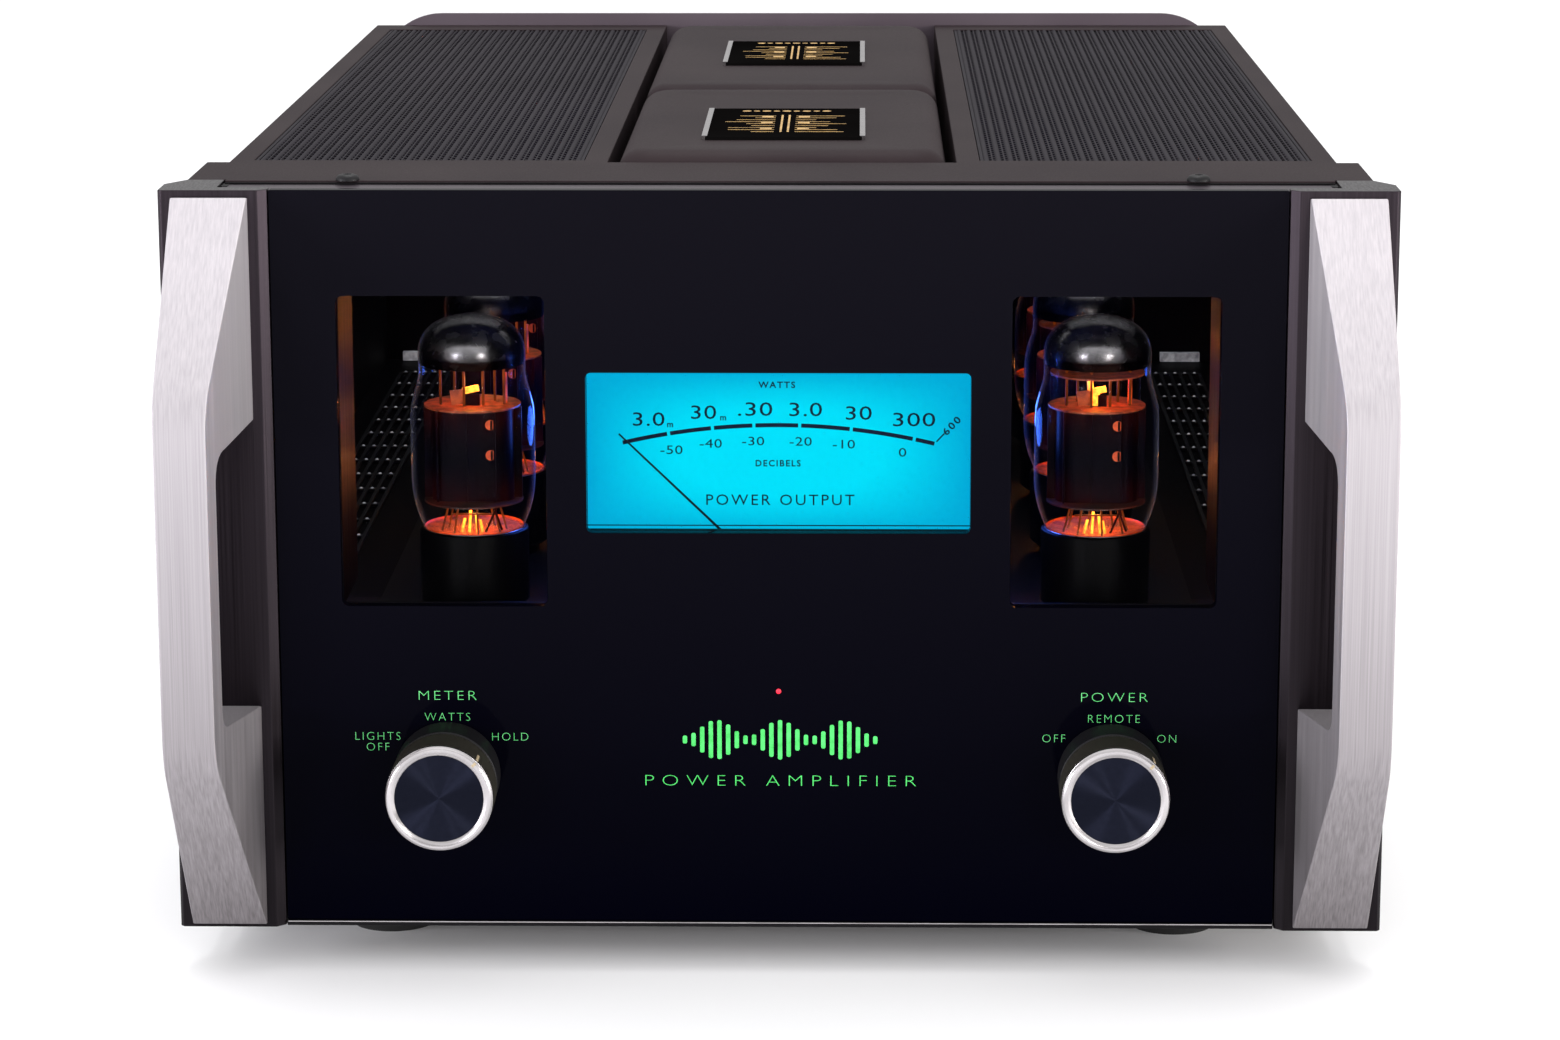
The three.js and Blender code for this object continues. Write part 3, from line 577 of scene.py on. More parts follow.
FINISH = {
    "glass": black_glass(),
    "pane": smoked_pane(),
    "bulb": bulb_glass(),
    "getter": getter_mirror(),
    # The handles' last colour is painted shade at their foot.
    "silver": brushed("brushed_silver", (172, 167, 172), (190, 185, 189), 0.44,
                      (1700, 260, 9), 0.05, (92, 87, 89), Anisotropic=0.8, Metallic=0.4),
    "rim": brushed("turned_silver", (168, 164, 165), (198, 194, 196), 0.22, (60, 2500, 60), 0.01),
    "knurl": brushed("knurled_metal", (38, 36, 31), (62, 59, 52), 0.5, 900, 0.1, Metallic=0.5),
    "skirt": painted("knob_skirt", (11, 10, 13), (17, 16, 20), 0.5, 2200, shine=0.25),
    "inlay": spun_inlay(),
    # The caps' last colour is painted shade at their foot.
    "cap": brushed("cap_anodised", (38, 32, 37), (50, 43, 49), 0.34, (1700, 260, 9), 0.05,
                   (14, 10, 14), Anisotropic=0.5, Metallic=0.85),
    "rail": brushed("rail_anodised", (70, 62, 69), (86, 78, 85), 0.4, (9, 1700, 1700)),
    # Near black as painted shade: the bottom rail and the strips in the top rail's gaps.
    "lip": painted("rail_painted_shade", (8, 7, 9), (14, 12, 15), 0.5, shine=0.1),
    "satin": satin_paint_with_bay_shade(),
    "edge": painted("rear_panel_paint", (76, 67, 74), (86, 77, 84), 0.5, shine=0.1),
    "grille": painted("grille_paint", (27, 23, 30), (33, 29, 36), 0.55, shine=0.06),
    "plate": painted("nameplate_black", (7, 6, 6), (12, 11, 11), 0.5, shine=0.0),
    "dark": painted("inside_black", (2, 1, 4), (6, 4, 9), 0.5, shine=0.1),
    "vent": painted("vent_paint", (30, 32, 36), (48, 50, 56), 0.5, shine=0.2),
    "copper": brushed("window_lining", (14, 2, 3), (23, 4, 5), 0.4, (40, 700, 12), 0.02),
    "steel": brushed("plated_steel", (150, 150, 154), (186, 186, 190), 0.3, (60, 900, 60)),
    "black": painted("black_plastic", (12, 12, 14), (20, 20, 23), 0.5, 1500),
    "bakelite": painted("valve_bakelite", (1, 1, 1), (3, 3, 4), 0.4, 900, shine=0.05),
    "rubber": painted("foot_rubber", (15, 15, 15), (25, 25, 25), 0.8, 900, 0.3),
    "gold": brushed("gold_plate", (202, 156, 74), (236, 196, 112), 0.18, (90, 900, 90)),
    "board": painted("board_mask", (14, 46, 26), (24, 66, 36), 0.35, 700),
    "core": brushed("laminations", (46, 43, 45), (70, 66, 68), 0.5, (12, 1900, 12), 0.4),
    "dial": lit_dial(),
    "ink": painted("dial_ink", (2, 14, 40), (6, 20, 50), 0.6, shine=0.1),
    "needle": painted("needle_paint", (4, 6, 18), (9, 11, 26), 0.5, shine=0.1),
    "green": glowing("lit_green", (96, 190, 116), (56, 160, 82), 0.52),
    "mark": glowing("lit_mark", (66, 190, 92), (38, 152, 62), 0.62),
    "red": glowing("lit_red", (255, 30, 60), (200, 10, 36), 1.3),
    # Gold print that also glows faintly: a painted sheen.
    "gilt": glowing("gilt_print", (200, 160, 92), (146, 112, 56), 0.12),
    "tan": painted("mark_tan", (150, 134, 108), (176, 160, 132), 0.4),
    # The anode and the wires glow as painted heater light.
    "anode": painted_glow_metal("anode", (1, 0, 2), (255, 74, 8), 0.09),
    "wire": painted_glow_metal("valve_wire", (40, 28, 22), (255, 110, 30), 0.8),
    # The mica discs glow as painted light from the heater, the lower one darker as painted shade.
    "mica": glowing("lit_mica", (190, 84, 44), (84, 26, 12), 0.16),
    "lower_mica": glowing("shaded_mica", (84, 26, 10), (24, 6, 4), 0.2, 90),
    "heater": glowing("heater", (255, 190, 60), (255, 96, 12), 2.4, 500),
    # Painted light: glows orange in the bowl, the anode's holes, a crown rod and the driver's foot, where
    # heater light would show.
    "painted_heater_glow": glowing("painted_heater_glow", (255, 98, 22), (120, 24, 6), 0.45, (150, 240, 240)),
    # The crown bracket glows as painted heater light.
    "bracket": glowing("lit_bracket", (214, 96, 36), (110, 40, 16), 0.35, (240, 240, 240)),
    # Painted glints: the deck vents' studs and the bar at their rear wall glow.
    "glint": glowing("glint", (222, 224, 232), (130, 130, 142), 0.3),
}


# ---- Front panel ----

GLASS_LOW, GLASS_HIGH = box_mm("front_glass")
GLASS_THICK = GLASS_HIGH.y
# Distances from the middle of the panel and heights above the glass's lower edge.
WINDOW = {"near": 84.4, "far": 159.6, "low": 120.0, "high": 234.7, "corner": 2.6}
METER_WINDOW = {"half": 69.75, "low": 147.5, "high": 206.7, "corner": 2.0}
KNOB_LOW, KNOB_HIGH = box_mm("power_knob")
KNOB_X, _, KNOB_Z = centre_mm("power_knob")
INK = 0.06  # how far print stands proud


def window_outline(side):
    return rounded(sided(side, WINDOW["near"], WINDOW["far"]), (WINDOW["low"], WINDOW["high"]),
                   WINDOW["corner"])


def meter_outline():
    half = METER_WINDOW["half"]
    return rounded((-half, half), (METER_WINDOW["low"], METER_WINDOW["high"]), METER_WINDOW["corner"])


def make_glass():
    outline = rounded((GLASS_LOW.x, GLASS_HIGH.x), (0, GLASS_HIGH.z), 0.6, 2)
    holes = [window_outline(side) for _, side in SIDES] + [meter_outline()]
    holes += [circle(side * KNOB_X, KNOB_Z, 6) for _, side in SIDES]
    glass = Piece("front_glass_sheet")
    glass.plate([outline, *holes], GLASS_THICK, (0, 0, 0), "front", "glass", 0.35)
    glass.done(stands_for=["front_glass"], flat=True)
    panes = Piece("front_glass_panes")
    for loop in holes[:3]:
        panes.plate([loop], GLASS_THICK - 0.4, (0, 0.2, 0), "front", "pane", 0.1)
    panes.done(flat=True)


# Words, height, and the x and z of their middle.
LABELS = (
    ("METER", 3.8, -121.8, 86.1), ("WATTS", 3.3, -121.8, 78.0), ("LIGHTS", 3.3, -147.7, 70.6),
    ("OFF", 3.3, -147.7, 66.5), ("HOLD", 3.3, -98.9, 70.5),
    ("POWER", 3.8, 122.9, 86.1), ("REMOTE", 3.3, 122.9, 78.0), ("OFF", 3.3, 101.0, 70.5),
    ("ON", 3.3, 142.5, 70.5),
)
MARK = {"x": 0.5, "z": 69.8, "half": 35.0, "height": 15.0, "bars": 23}
NAME = ("POWER AMPLIFIER", 4.5, 0.5, 54.0)


def make_labels():
    """Printed words for the controls, and a plain row of level bars where a mark would be."""
    labels = Piece("control_labels")
    for words, height, x, z in LABELS:
        wide = 1.22 if height > 3.5 else 0.98
        labels.text(words, height, (x, -INK, z), "front", "green", wide, 1.25, thin=0.036)
    words, height, x, z = NAME
    labels.text(words, height, (x, -INK, z), "front", "mark", 1.35, 1.55, thin=0.036)
    for i in range(MARK["bars"]):
        share = 2 * i / (MARK["bars"] - 1) - 1
        tall = MARK["height"] * (0.2 + 0.8 * math.cos(share * math.pi * 1.5) ** 2) / 2
        x = MARK["x"] + share * MARK["half"]
        bar = rounded((x - 0.8, x + 0.8), (MARK["z"] - tall, MARK["z"] + tall), 0.6, 3)
        labels.plate([bar], 0.12, (0, -0.1, 0), "front", "mark", 0.02)
    labels.done()


def make_handle(word, side):
    """The bar handle: an upright grip, sloping ends, and an inner side that leans outwards."""
    low, high = box_mm(f"handle_{word}")
    foot, front = high.y, low.y
    inner, outer = sorted((abs(low.x), abs(high.x)))
    rear, slope = -49.5, 0.157
    outline = [(foot, low.z), (foot - 1, low.z)]
    outline += bend((front + 5.5, 69), (front, 77), (front, 88))
    outline += bend((front, 194), (front, 205), (front + 7.5, 213.5))
    outline += [(foot - 1.5, high.z), (foot, high.z), (foot, 189.9)]
    outline += bend((rear + 12, 186), (rear, 186), (rear, 174))
    outline += bend((rear, 94), (rear, 86), (rear + 8, 86))
    outline += [(foot, 83)]
    handle = Piece(f"handle_{word}_brushed")
    handle.prism(outline, inner, outer, "x", "silver")
    handle.points = [(side * (x if x > (inner + outer) / 2 else inner + slope * (foot - y)), y, z)
                     for x, y, z in handle.points]
    handle.done(stands_for=[f"handle_{word}"], bevel=0.9, segments=3)


def make_screw(piece, x, y, z, radius, facing, finish, height):
    """A domed head with a round recess."""
    across, up, out = (Vector(v) for v in FACINGS[facing])
    rings = [(radius, 0), (radius, 0.35 * height), (0.82 * radius, 0.8 * height),
             (0.5 * radius, height), (0.36 * radius, height), (0.28 * radius, 0.35 * height)]
    steps = 20
    points = [tuple(Vector((x, y, z)) + across * u + up * v + out * d)
              for r, d in rings for u, v in circle(0, 0, r, steps)]
    piece.add(points, tube(steps, len(rings)), finish)


def make_seam_shade_and_edge_highlight():
    """Painted shade: a near-black strip behind the top rail and thin near-black plates on its ends; and a
    bright metal strip under the glass, put in as its edge highlight.
    """
    rail_low, rail_high = box_mm("top_rail")
    shroud_top = box_mm("front_shroud")[1].z
    # Near-black painted shade in the gap behind the rail.
    gap_shade = Piece("top_rail_gap_shade")
    across = (rail_low.x + 0.2, rail_high.x - 0.2)
    gap_shade.box(across, (rail_high.y + 0.6, rail_high.y + 1.9), (262, shroud_top - 0.6), "lip")
    for side in (-1, 1):
        ends = sided(side, rail_high.x - 2.0, rail_high.x + 0.3)
        gap_shade.box(ends, (rail_high.y - 6, rail_high.y + 1.8), (rail_high.z + 0.02, rail_high.z + 0.2),
                 "lip")
    gap_shade.done()
    # A bright strip that stands in for the glass's lower edge highlight.
    edge = Piece("front_glass_edge_highlight")
    edge.box((GLASS_LOW.x + 0.3, GLASS_HIGH.x - 0.3), (-0.9, -0.3), (-0.55, -0.2), "rim")
    edge.done()


def make_front_trim():
    for word, side in SIDES:
        make_handle(word, side)
        dress(f"end_cap_{word}", "cap", 0.35)
        lining = Piece(f"window_lining_{word}")
        across = sided(side, WINDOW["far"] + 0.4, WINDOW["far"] + 1.6)
        lining.box(across, (8.6, 54), (WINDOW["low"] - 2, WINDOW["high"] + 2), "copper")
        lining.done(bevel=0.2)
    dress("top_rail", "rail", 0.3)
    # The bottom rail is near black as painted shade.
    dress("bottom_rail", "lip", 0.3)
    make_seam_shade_and_edge_highlight()
    dress("front_shroud", "satin", 0.4)
    dress("front_backing_panel", "dark")
    screws = Piece("shroud_screws")
    top = box_mm("front_shroud")[1].z
    for _, side in SIDES:
        make_screw(screws, side * 154.5 - 2.4, 24.0, top, 4.3, "top", "skirt", 2.2)
    screws.done(angle=50)


# ---- Meter ----

DIAL_FACE = box_mm("meter_dial")[0].y
# Words, height, the x and z of their middle, and how much they are stretched sideways.
DIAL_WORDS = (
    ("WATTS", 2.4, -0.7, 199.5, 1.05), ("DECIBELS", 2.4, -0.4, 170.3, 1.0),
    ("POWER OUTPUT", 4.2, 0.3, 156.5, 1.05), ("m", 2.3, -39.8, 184.8, 1.0), ("m", 2.3, -20.4, 187.4, 1.0),
    ("3.0", 5.3, -47.8, 186.5, 1.36), ("30", 5.3, -27.7, 189.1, 1.36), (".30", 5.3, -8.8, 190.3, 1.46),
    ("3.0", 5.3, 9.6, 190.2, 1.4), ("30", 5.3, 29.0, 188.9, 1.4), ("300", 5.3, 49.2, 186.5, 1.46),
    ("-50", 3.4, -39.4, 175.2, 1.34), ("-40", 3.4, -25.0, 177.6, 1.34), ("-30", 3.4, -9.5, 178.5, 1.34),
    ("-20", 3.4, 7.9, 178.4, 1.34), ("-10", 3.4, 23.7, 177.4, 1.34), ("0", 3.4, 45.2, 174.4, 1.34),
)
ARC = {"radius": 246.0, "top": 185.4, "x": -0.6, "thick": 1.5, "ends": (-57.4, 57.0), "gap": 0.55}
ARC_GAPS = (-40.5, -24.4, -9.2, 7.6, 26.5, 49.6)


def arc_point(x, inset):
    radius = ARC["radius"] - inset
    u = (x - ARC["x"]) * radius / ARC["radius"]
    return ARC["x"] + u, ARC["top"] - ARC["radius"] + math.sqrt(radius ** 2 - u ** 2)


def make_meter():
    dress("meter_dial", "dial")
    dress("meter_case", "dark")
    dress("meter_needle", "needle")
    print_face = DIAL_FACE - INK
    marks = Piece("dial_print")
    for words, height, x, z, wide in DIAL_WORDS:
        gap = 1.25 if words.strip("m").isalpha() or " " in words else 1.05
        bold = -0.03 if height < 2.5 else 0.0
        marks.text(words, height, (x, print_face, z), "front", "ink", wide, gap, thin=bold)
    marks.text("600", 2.7, (63.2, print_face, 184.4), "front", "ink", 1.2, 1.3, 47, -0.03)
    edges = [ARC["ends"][0], *ARC_GAPS, ARC["ends"][1]]
    for k, (start, end) in enumerate(zip(edges, edges[1:])):
        start += ARC["gap"] if k else 0
        end -= ARC["gap"] if end != edges[-1] else 0
        steps = [start + (end - start) * i / 12 for i in range(13)]
        band = [arc_point(x, 0) for x in steps] + [arc_point(x, ARC["thick"]) for x in reversed(steps)]
        marks.plate([band], 0.12, (0, print_face, 0), "front", "ink", 0.02)
    marks.rod((57.6, print_face, 178.6), (60.4, print_face, 181.6), 0.3, "ink", 6)
    marks.box((-72, 72), (print_face, DIAL_FACE), (146.9, 147.3), "ink")
    marks.done()
    dress("status_led", "red")
    lens = Piece("status_led_lens")
    height = centre_mm("status_led")[2]
    lens.lathe([(0, -0.35), (0.6, -0.28), (0.95, 0.0), (0, 0.0)], (0, height), "y", "red", 20)
    lens.done()


# ---- Knobs ----

KNOB_RADIUS = (KNOB_HIGH.x - KNOB_LOW.x) / 2
KNOB_REAR, KNOB_FRONT = KNOB_HIGH.y, KNOB_LOW.y
BORE = 4  # every turned part of a knob has a hole for the shaft
GRIP = {"rear": -17.6, "front": -33.4, "rows": 15, "length": 15.4, "steps": 240, "tooth": 0.4}
MARK_TURN = Matrix.Rotation(math.radians(45), 3, "Y")


def turn_knob(knob, centre):
    """The skirt, the thin ring in front of it, the knurled grip and the bright rim."""
    r, front, rear = KNOB_RADIUS, KNOB_FRONT, KNOB_REAR
    skirt = [(BORE, rear), (r - 0.3, rear), (r - 0.1, rear - 0.4), (r - 0.1, -15.4), (r - 0.6, -16),
             (r - 1.3, -16.2), (r - 1.3, -17.4), (BORE, -17.4), (BORE, rear)]
    knob.lathe(skirt, centre, "y", "skirt", 96)
    ring = [(r - 1.5, -16.35), (r - 0.75, -16.35), (r - 0.75, -16.7), (r - 1.5, -16.7), (r - 1.5, -16.35)]
    knob.lathe(ring, centre, "y", "rim", 96)
    rows = GRIP["rows"]
    band = [(r - 0.35, GRIP["rear"] - 0.2 - (GRIP["length"] * i / (rows - 1))) for i in range(rows)]
    grip = [(BORE, GRIP["rear"]), (r - 1.0, GRIP["rear"]), *band, (r - 1.2, GRIP["front"]),
            (BORE, GRIP["front"]), (BORE, GRIP["rear"])]
    teeth = range(2, 2 + rows)
    knob.lathe(grip, centre, "y", "knurl", GRIP["steps"],
               lambda row, i: GRIP["tooth"] if row in teeth and (row + i) % 2 else 0)
    rim = [(BORE, -33.2), (r - 0.6, -33.2), (r - 0.1, -33.5), (r, -34.0), (r - 0.15, -34.6),
           (r - 0.45, -34.75), (r - 0.45, -34.95), (r - 0.2, -35.1), (r - 0.7, front + 0.25),
           (r - 1.1, front), (r - 2.0, front), (r - 2.25, front + 0.1), (r - 3.4, front + 0.75),
           (r - 3.5, front + 1.6), (BORE, front + 1.6), (BORE, -33.2)]
    knob.lathe(rim, centre, "y", "rim", 96)


def make_knob(word, side):
    x, body = side * KNOB_X, f"{word}_knob"
    knob = Piece(f"{word}_knob_turned")
    turn_knob(knob, (x, KNOB_Z))
    mark = Piece(f"{word}_knob_mark")
    for depth, reach in (((KNOB_FRONT - 0.05, -33.6), (KNOB_RADIUS - 2.4, KNOB_RADIUS - 0.5)),
                         ((-33.6, -27.0), (KNOB_RADIUS - 1.2, KNOB_RADIUS + 0.1))):
        mark.box((-0.55, 0.55), depth, reach, "tan", MARK_TURN)
    mark.points = [tuple(Vector(p) + Vector((x, 0, KNOB_Z))) for p in mark.points]
    mark.done(body, bevel=0.15)
    knob.done(body, [f"{word}_knob"], angle=28)
    face = Piece(f"{word}_knob_face")
    edge, flat = KNOB_RADIUS - 3.55, KNOB_FRONT + 0.75
    disc = [(0, flat), *[(edge * i / 12, flat) for i in range(1, 13)], (edge, KNOB_FRONT + 1.5),
            (0, KNOB_FRONT + 1.5)]
    face.lathe(disc, (x, KNOB_Z), "y", "inlay", 96)
    face.done(body, [f"{word}_knob_inlay"], angle=40)
    dress(f"{word}_switch_shaft", "steel")
    dress(f"{word}_switch", "steel", 0.2)


# ---- Chassis, cages and covers ----

GRILLE = {"ribs": 27, "rise": 1.2, "pitch_y": 6.0, "web": 1.7}


def make_grille(word):
    """Long half-round ribs joined by short webs, with open slots between them."""
    low, high = box_mm(f"cage_grille_{word}")
    top = high.z + 0.35
    pitch = (high.x - low.x) / GRILLE["ribs"]
    wide = pitch * 0.27
    gap = pitch / 2 - wide + 0.15
    along, layer = (low.y, high.y), (top - 1.3, top - 0.35)
    grille = Piece(f"grille_{word}_ribs")
    arch = [(wide * math.cos(t), top - 1.3 + GRILLE["rise"] * math.sin(t))
            for t in (math.pi * i / 6 for i in range(7))]
    for i in range(GRILLE["ribs"]):
        x = low.x + (i + 0.5) * pitch
        grille.prism([(x + u, v) for u, v in arch], *along, "y", "grille")
    rows = int((high.y - low.y) / GRILLE["pitch_y"])
    for i in range(1, GRILLE["ribs"]):
        x = low.x + i * pitch
        for lane, across in enumerate(((x - gap, x + 0.05), (x - 0.05, x + gap))):
            for row in range(rows):
                y = low.y + (row + 0.25 + 0.5 * lane) * GRILLE["pitch_y"]
                grille.box(across, (y, y + GRILLE["web"]), (top - 1.25, top - 0.45), "grille")
        grille.box((x - 0.28, x + 0.28), along, layer, "grille")
    for across in ((low.x, low.x + gap), (high.x - gap, high.x)):
        grille.box(across, along, layer, "grille")
    grille.done(stands_for=[f"cage_grille_{word}"])


def make_cover(name, node):
    """A deep-drawn cover with round shoulders and a shallow dish round its nameplate."""
    low, high = box_mm(node)
    corner, shoulder = 13.0, 9.0
    rings = [(0.0, low.z), (0.0, high.z - shoulder)]
    rings += [(shoulder * (1 - math.cos(t)), high.z - shoulder * (1 - math.sin(t)))
              for t in (math.pi / 2 * i / 8 for i in range(1, 9))]
    rings += [(shoulder + inset, high.z - depth)
              for inset, depth in ((6, 0.02), (10, 0.15), (14, 0.35), (18, 0.45))]
    loops = [[(u, v, height) for u, v in rounded((low.x + inset, high.x - inset),
                                                 (low.y + inset, high.y - inset),
                                                 max(corner - inset * 0.8, 2.5), 8)]
             for inset, height in rings]
    cover = Piece(name)
    cover.add([point for loop in loops for point in loop], tube(len(loops[0]), len(loops)), "satin")
    cover.done(stands_for=[node], angle=60)


NAMEPLATE = {"half": 30.5, "front": (114.0, 203.0), "rear": (371.0, 460.0)}


def make_nameplate(word, node):
    """A black plate with bright ends, and gold lines and blocks without any words."""
    top = box_mm(node)[1].z
    (front, rear), half = NAMEPLATE[word], NAMEPLATE["half"]
    plate = Piece(f"nameplate_{word}")
    plate.plate([rounded((-half, half), (front, rear), 1.5)], 2.2, (0, 0, top + 1.0), "top",
                "plate", 0.25)
    for side in (-1, 1):
        across = sided(side, half - 1.2, half + 0.9)
        plate.box(across, (front + 0.5, rear - 0.5), (top - 0.6, top + 1.25), "rim")
    face = top + 1.06
    layer = (face - 0.2, face)
    for side in (-1, 1):
        for i in range(9):
            y = front + 14 + i * 6.2
            reach = 4.0 + (14 + 6 * math.sin(1.7 * i + side))
            plate.box(sided(side, 4.0, reach), (y, y + 0.7), layer, "gilt")
            if i % 3 == 1:
                plate.box(sided(side, 5, 9.5), (y + 2, y + 6.2), layer, "gilt")
        plate.box(sided(side, 1.0, 1.8), (front + 14, rear - 22), layer, "gilt")
    for i in range(9):
        dot = circle(4 * i - 16, rear - 9, 1.3 if i % 2 else 1.8, 12)
        plate.plate([dot], 0.2, (0, 0, face), "top", "gilt", 0.04)
    plate.done(flat=True)


DECK = box_mm("chassis_pan")[1].z
VENT = {"near": 171.5, "far": 195.0, "front": 82.5, "rows": 15, "pitch": 30.5, "columns": 5}
REAR_GLINT_BAR = {"near": 178.5, "far": 198.0, "high": 5.0}
SLAT, STUD_TOP = 0.8, 2.3


def make_deck_vents(word, side):
    """A strip of long slots in the deck outside the valves, with a stud at each slot's end and a bar at
    the rear wall that glow as painted glints.
    """
    strip = Piece(f"deck_vents_{word}")
    pitch = (VENT["far"] - VENT["near"]) / VENT["columns"]
    rear = VENT["front"] + VENT["rows"] * VENT["pitch"]
    for i in range(VENT["columns"] + 1):
        x = side * (VENT["near"] + i * pitch)
        strip.box((x - SLAT, x + SLAT), (VENT["front"], rear), (DECK + 0.6, DECK + 1.8), "vent")
    for row in range(VENT["rows"] + 1):
        y = VENT["front"] + row * VENT["pitch"]
        strip.box(sided(side, VENT["near"], VENT["far"]), (y - 2, y + 2), (DECK + 0.6, DECK + 1.7), "vent")
        for i in range(VENT["columns"]):
            x = side * (VENT["near"] + (i + 0.5) * pitch)
            stud = [(0, DECK + STUD_TOP), (0.55, DECK + 2.1), (0.8, DECK + 1.7), (0, DECK + 1.7)]
            strip.lathe(stud, (x, y), "z", "glint", 10)
    # A glowing bar at the cage's rear wall: a painted glint.
    wall = box_mm(f"valve_cage_{word}")[1].y - 2
    across = sided(side, REAR_GLINT_BAR["near"], REAR_GLINT_BAR["far"])
    strip.box(across, (wall - 4, wall - 0.3), (DECK + 0.6, DECK + REAR_GLINT_BAR["high"]), "glint")
    strip.done(bevel=0.15)


def make_chassis():
    for word, side in SIDES:
        dress(f"valve_cage_{word}", "satin", 0.5)
        make_grille(word)
        make_deck_vents(word, side)
    dress("chassis_pan", "satin", 0.5)
    dress("bottom_cover", "satin", 0.4)
    dress("rear_panel", "edge", 0.5)
    for word in ("front", "rear"):
        node = f"{word}_transformer_cover"
        make_cover(f"{node}_drawn", node)
        make_nameplate(word, node)
    for node in ("output_transformer", "power_transformer"):
        dress(node, "core", 0.4)


# ---- Valves ----

AXIS = (0, 0)  # a valve's meshes are built here and then moved to each valve's place
MICA = 0.6  # a mica disc's thickness
HEAT, METER_BLUE = (1.0, 0.34, 0.07), (0.05, 0.16, 1.0)


def bulb_profile(inset=0.0):
    """The bulb's outline, from its foot in the base, over its waist, to the top of its dome."""
    side = [(18.6, BULB_FOOT), (19.6, 143.5), (21.0, 147), (22.2, 151.5), (22.9, 156), (23.1, 160),
            (23.1, 182), (22.8, 187), (21.7, 191.5), (20.4, 195.5), (19.8, 199), (19.9, SHOULDER)]
    neck, rise = 20.0, BULB_TOP - BULB_NECK
    turns = [math.pi / 2 * i / 12 for i in range(12)]
    dome = [(neck * math.cos(t) ** 0.87, BULB_NECK + rise * math.sin(t) ** 0.87) for t in turns]
    wall = [(r - inset, z - (inset if z > BULB_NECK else 0)) for r, z in side + dome]
    return [*wall, (0, BULB_TOP - inset)]


def make_getter(works):
    """The mirror on the inside of the dome, as a thin closed shell."""
    outer = [(r, z) for r, z in bulb_profile(0.5) if z >= SHOULDER]
    inner = [(max(r - 0.5, 0.0), z - (0.5 if z > BULB_NECK else 0)) for r, z in reversed(outer)]
    works.lathe([*outer, *inner, outer[0]], AXIS, "z", "getter", 64)


def make_bowl(works):
    """The dish at the foot, which glows as painted heater light, with its heater legs."""
    dish = [(0, 139.0), (12, 139.2), (17.4, 140.3), (18.4, 141.6), (18.5, 141.2), (17.6, 139.6),
            (12, 138.6), (0, 138.4)]
    works.lathe(dish, AXIS, "z", "painted_heater_glow")
    for i in range(8):
        t = math.radians(45 * i + 10)
        x, y = 9 * math.cos(t), 7 * math.sin(t)
        works.rod((1.35 * x, 1.2 * y, 139.4), (x, y, LOWER_MICA), 0.4, "wire")
    for x, top in ((-4.5, 144.5), (-1.5, 147.5), (1.5, 146.0), (3.5, 144.0)):
        works.rod((x, -4.5, 139.4), (0.7 * x, -3.5, top), 0.5, "heater")
    works.box((-8, 9), (-5.6, -5.0), (146.2, 146.8), "wire")
    works.rod((5, -9, 140.5), (9, -7.5, 149.5), 0.45, "anode")
    works.rod((11, -8, 141), (8, -7.5, 149.5), 0.45, "anode")


def make_anode(works):
    """The dark anode box with its seams, fins and two round holes, between its mica discs."""
    for height, radius, finish in ((UPPER_MICA, 18.0, "mica"), (LOWER_MICA, 18.4, "lower_mica")):
        works.lathe(drum(radius, height, height + MICA), AXIS, "z", finish, 40)
    bottom, top = LOWER_MICA + 1, 186.2
    works.prism(rounded((-15.3, 15.3), (-9, 9), 7.5, 8), bottom, top, "z", "anode")
    for x in (-12.5, -1.8, 8.8):
        works.box((x - 0.35, x + 0.35), (-9.9, -8.0), (bottom, top), "anode")
    for x in (-16.6, 16.6):
        works.box((x - 1.6, x + 1.6), (-0.6, 0.6), (bottom, top), "anode")
    # Two holes in the anode that glow as painted heater light, each with a dark slot.
    for z in (181.0, 169.6):
        works.lathe(drum(1.9, -9.3, -8.4), (7.3, z), "y", "painted_heater_glow", 20)
        works.box((7.3, 8.1), (-9.5, -9.2), (z - 1.7, z + 1.7), "bakelite")


def make_crown(works, tall):
    """The rods, brackets and lit heater ends between the upper mica and the dome."""
    for x, y in ((-11.5, -3), (-2.5, -6.5), (4.5, -5), (12, -2), (8, 5), (-7, 6)):
        works.rod((x, y, UPPER_MICA), (x, y, 201), 0.5, "wire")
    works.box((-7.6, -2.6), (-5.6, -5.1), (188.0, 193.6), "bracket",
              Matrix.Rotation(math.radians(-8), 3, "Y"), (-5, -5, 191))
    works.box((-3.0, 3.0), (-6.0, -5.4), (192.6, 195.0), "heater",
              Matrix.Rotation(math.radians(-12), 3, "Y"), (0, -5.7, 193.8))
    works.box((-2.4, 3.2), (-5.4, -4.8), (187.7, 192.0), "anode")
    works.rod((12.2, 1, 187.5), (12.2, 1, 199), 0.8, "painted_heater_glow")
    if tall:
        works.lathe(drum(17.5, 199.4, 200), AXIS, "z", "mica", 40)
        works.rod((-1, -4, 188), (-1, -4, 193), 1.8, "heater")
        works.rod((-2.5, -3, 192.5), (-3, -3, 198), 1.1, "heater")


